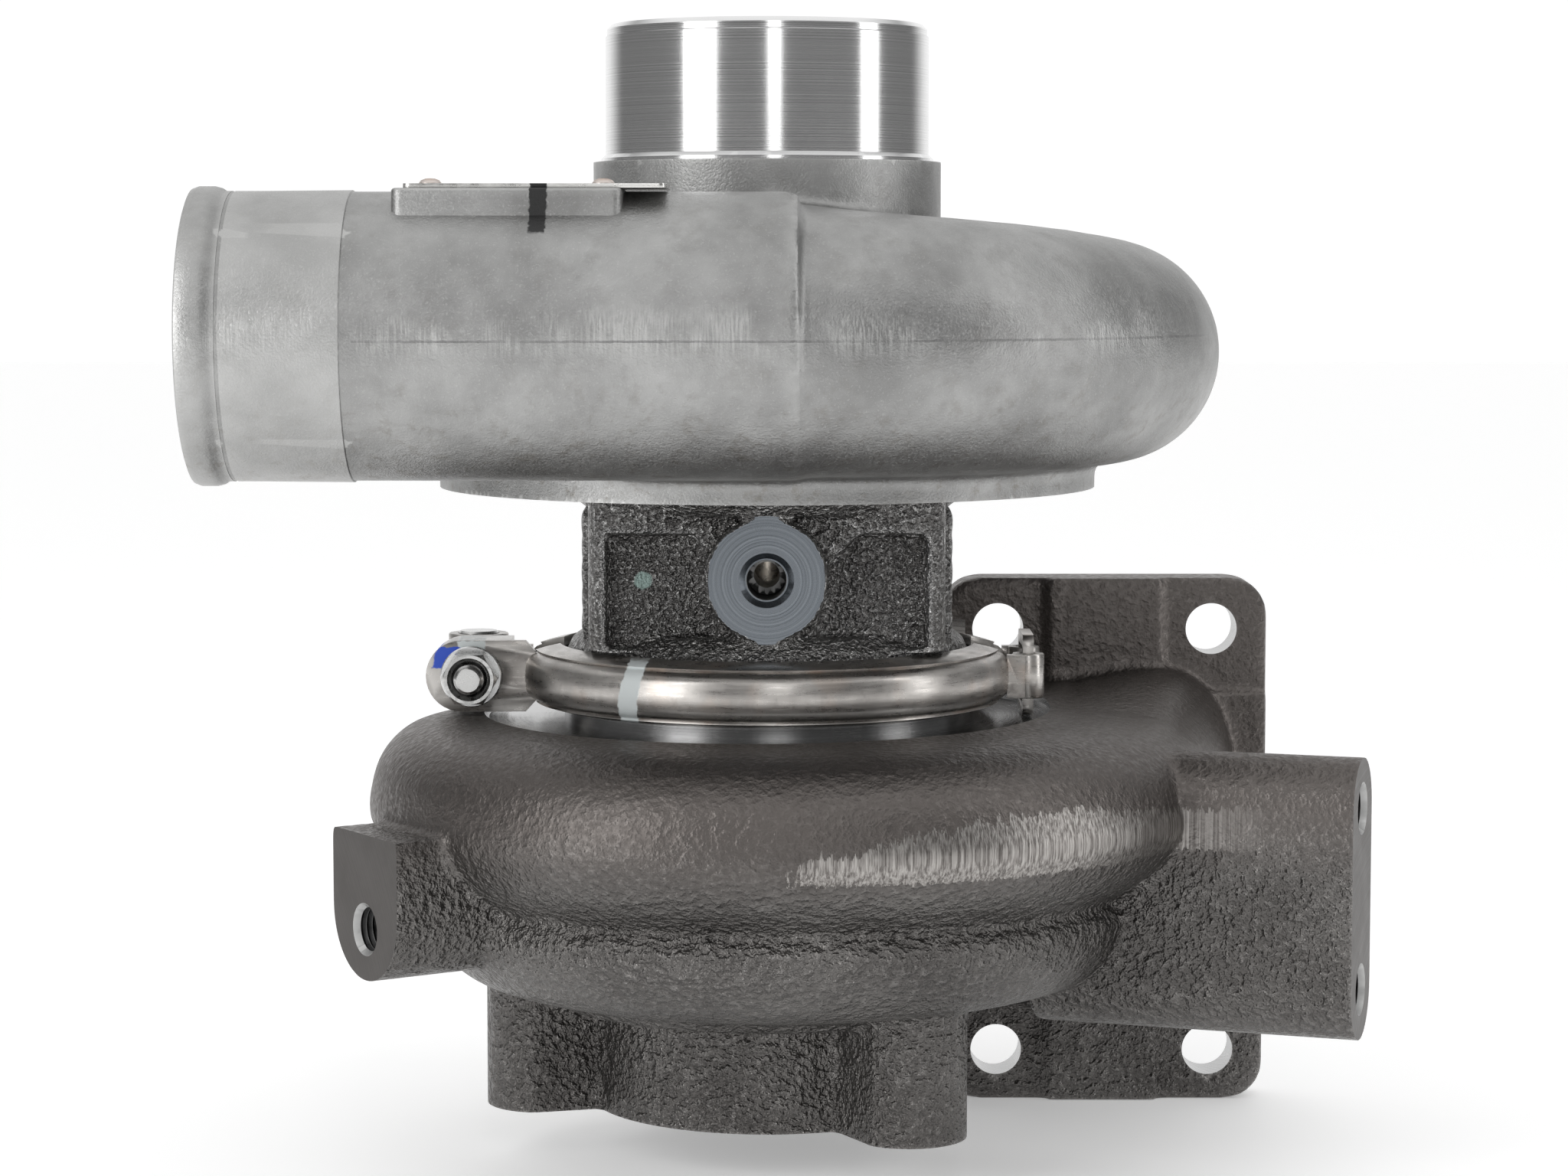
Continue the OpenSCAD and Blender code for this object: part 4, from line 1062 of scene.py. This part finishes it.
def clamp_fixings():
    axis = dict(at=(-BOLT_X, 0, JOINT_Z), along=(0, -1, 0))
    shank = [(0, -11), (3, -11), (3, 6), *thread_outline(3, 6, 17.0), (2.5, 17.6), (2.3, 17.8), (0, 17.8)]
    bolt = lathe(shank, BOLT_STEEL, turns=48, **axis)
    head = [(0, -7.5), (3.8, -7.5), (4.15, -7.1), (4.15, 7.1), (3.8, 7.5), (0, 7.5)]
    add(bolt, lathe(head, BOLT_STEEL, at=(-BOLT_X, 10, JOINT_Z), turns=48))
    place(bolt, "housing", "clamp_t_bolt")
    disc = [(3.2, 9.25), (6.0, 9.25), (6.2, 9.45), (6.2, 10.3), (6.0, 10.5), (3.2, 10.5)]
    place(lathe(disc, STEEL, turns=64, **axis), "housing", "clamp_washer")
    axis["at"] = (-BOLT_X, -10.55, JOINT_Z)
    nut = prism(hexagon(5.77), 5.5, facing_front(*axis["at"]), BOLT_STEEL)
    keep = [(0, -0.1), (5.2, -0.1), (5.9, 0.4), (5.9, 4.8), (5.0, 5.5), (0, 5.5)]
    boolean(nut, lathe(keep, BOLT_STEEL, turns=64, **axis), "INTERSECT")
    bore = [(0, -2), (3.02, -2), (3.02, 4.3), (4.35, 5.5), (4.35, 7), (0, 7)]
    cut(nut, lathe(bore, BOLT_STEEL, turns=48, **axis))
    place(nut, "housing", "clamp_nut", 25)


# ---- rotor ----


def blade_rings(hub, tip, turn_of, thickness, steps=26, spans=9):
    """Rings round a curved blade's section from its root to its tip; turn_of gives the lean at a height."""
    rings = []
    for j in range(spans + 1):
        s = j / spans
        near, far = [], []
        for i in range(steps + 1):
            (r0, z0), (r1, z1) = hub(i / steps), tip(i / steps)
            r, z = r0 + (r1 - r0) * s, z0 + (z1 - z0) * s
            edge = min(1.0, 6 * i / steps, 6 * (1 - i / steps))
            half = thickness * (1.25 - 0.6 * s) * (0.35 + 0.65 * edge) / 2 / max(r, 4.0)
            a = turn_of(z)
            near.append(polar(r, a - half, z))
            far.append(polar(r, a + half, z))
        rings.append(near + far[::-1])
    return rings


def curve_through(points):
    def at(t):
        x = t * (len(points) - 1)
        i = min(int(x), len(points) - 2)
        (r0, z0), (r1, z1) = points[i], points[i + 1]
        return r0 + (r1 - r0) * (x - i), z0 + (z1 - z0) * (x - i)

    return at


def wheel(hub_outline, blades, turn_of, count, thickness, material):
    """A hub with blades; each blade is a (hub curve, tip curve) pair, taken in turn."""
    made = lathe(hub_outline, material, turns=144)
    for k in range(count):
        a = 2 * math.pi * k / count
        hub, tip = blades[k % len(blades)]
        rings = blade_rings(curve_through(hub), curve_through(tip), lambda z, a=a: a + turn_of(z), thickness)
        add(made, sweep(rings, material))
    return made


def compressor_wheel():
    outline = [
        (4.02, 137.4), (9, 137.4), (9, 137.8), (32.9, 137.8), (33, 138.0), (33, 138.6), (27, 139.6),
        (22, 141), (17, 144), (13, 148), (10.4, 153), (8.8, 158), (7.9, 162), (7.5, 166), (4.02, 166),
    ]
    hub_end = [(16.0, 143.4), (21.5, 140.2), (27, 138.8), (32.9, 138.1)]
    tip_end = [(26.6, 145.6), (28.9, 143.5), (31.0, 142.4), (33, 142)]
    full = (
        [(7.0, 164), (7.6, 160), (9.0, 154.5), (11.8, 148), *hub_end],
        [(24, 164), (24, 159), (24, 154), (24.7, 149.4), *tip_end],
    )
    splitter = (
        [(9.4, 153.2), (10.4, 151), (11.8, 148), (13.6, 145.7), *hub_end],
        [(24, 155.6), (24, 154.0), (24.3, 151.5), (24.9, 148.6), *tip_end],
    )

    def turn(z):
        return 0.95 * ease((z - 139) / 27) - 0.45 * (1 - ease((z - 137) / 12))

    body = wheel(outline, (full, splitter), turn, 12, 1.0, WHEEL_ALUMINIUM)
    place(body, "rotor", "compressor_wheel", 30)


def turbine_wheel():
    outline = [
        (0, 23), (4.4, 23), (5, 23.6), (6.9, 25), (7.3, 29), (8, 34), (9.2, 39.5), (11, 44), (13.6, 47.8),
        (17, 51), (22, 53.2), (27, 54.3), (27, 56.3), (6.02, 56.3), (6.02, 50), (0, 50),
    ]
    hub = [(6.5, 27), (7.0, 31), (8.0, 36), (9.6, 41), (12, 45.6), (16, 50), (21, 52.6), (26.9, 54.2)]
    tip = [(26, 27), (26, 28.5), (26.1, 31.7), (26.9, 36), (28.6, 39.4), (31, 41), (31, 47), (31, 53)]

    def turn(z):
        return -0.85 * ease((46 - z) / 20)

    body = wheel(outline, ((hub, tip),), turn, 11, 1.8, HOT_STEEL)
    place(body, "rotor", "turbine_wheel", 30)


def lock_nut():
    nut = prism(hexagon(6.6), 5.5, Matrix.Translation((0, 0, 167)), STEEL)
    keep = lathe([(0, 166.5), (6.7, 166.5), (6.7, 171.6), (5.6, 172.5), (0, 172.5)], STEEL, turns=64)
    boolean(nut, keep, "INTERSECT")
    add(nut, lathe([(0, 166), (7.2, 166), (7.2, 166.9), (6.9, 167.2), (0, 167.2)], STEEL, turns=64))
    cut(nut, bar(4.02, (0, 0, 160), (0, 0, 180), STEEL, 48))
    place(nut, "rotor", "wheel_lock_nut", 25)


def make_floor():
    corners = [(x * FLOOR_R, y * FLOOR_R, FLOOR_Z) for x, y in ((-1, -1), (1, -1), (1, 1), (-1, 1))]
    mesh_piece("floor", corners, [(0, 1, 2, 3)], pale_floor())


def finish_cad_nodes():
    """Better materials for the CAD nodes that stay as they are."""
    looks = {
        STEEL: (
            "locating_pin", "bearing_circlips", "turbine_piston_ring", "rotor_shaft", "thrust_ring",
            "thrust_sleeve", "oil_deflector", "insert_snap_ring", "sleeve_piston_ring", "cover_snap_ring",
        ),
        BRONZE: ("lower_journal_bearing", "upper_journal_bearing", "thrust_bearing"),
        RUBBER: ("insert_o_ring", "cover_o_ring"),
        WHEEL_ALUMINIUM: ("seal_insert",),
        HOT_STEEL: ("heat_shield",),
    }
    for material, names in looks.items():
        for name in names:
            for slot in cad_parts[name].material_slots:
                slot.material = material


# ---- camera and light ----

WORLD_DIM, WORLD_BRIGHT = 0.20, 1.03
EYE, PITCH, LENS, SENSOR = (0.0034, -0.763, 0.172), -5.0, 85.85, 36.0


def camera():
    data = bpy.data.cameras.new("camera")
    data.lens, data.sensor_width = LENS, SENSOR
    data.clip_start, data.clip_end = 0.05, 20
    eye = new_object("camera", data)
    eye.location = EYE
    eye.rotation_euler = (math.radians(90 + PITCH), 0, 0)
    bpy.context.scene.camera = eye


def lamp(name, at, wide, tall, power):
    """A soft rectangular light that looks at the middle of the object."""
    data = bpy.data.lights.new(name, "AREA")
    data.shape = "RECTANGLE"
    data.size, data.size_y = wide, tall
    data.energy = power
    light = new_object(name, data)
    light.location = at
    light.rotation_euler = (Vector((0, 0, 0.11)) - Vector(at)).to_track_quat("-Z", "Y").to_euler()


def studio():
    """White behind and above, dim towards the camera, so that the metal shows dark and bright bands."""
    n = Nodes(bpy.data.worlds.new("studio"), "Background", "Generated")
    _, y, z = n.split()
    behind, above = n.remap(y, 0.55, 0.93, kind="SMOOTHSTEP"), n.remap(z, 0.40, 0.85, kind="SMOOTHSTEP")
    white = n.math("MAXIMUM", behind, above)
    n.feed(n.inputs["Color"], (1.0, 1.0, 1.0))
    n.feed(n.inputs["Strength"], n.math("MULTIPLY_ADD", white, WORLD_BRIGHT - WORLD_DIM, WORLD_DIM))
    bpy.context.scene.world = n.owner
    lamp("left softbox", (-0.86, -0.78, 0.42), 0.50, 1.1, 5.6)
    lamp("right strip", (1.05, -0.25, 0.42), 0.30, 1.1, 2.4)
    lamp("front strip", (0.12, -1.30, 0.62), 0.22, 0.9, 1.5)
    bpy.context.scene.view_settings.view_transform = "Standard"


make_floor()
camera()
studio()
compressor_cover()
name_plate()
bearing_housing()
turbine_housing()
front_band()
rear_band()
hinge_link()
clamp_fixings()
compressor_wheel()
turbine_wheel()
lock_nut()
finish_cad_nodes()

bpy.context.view_layer.update()
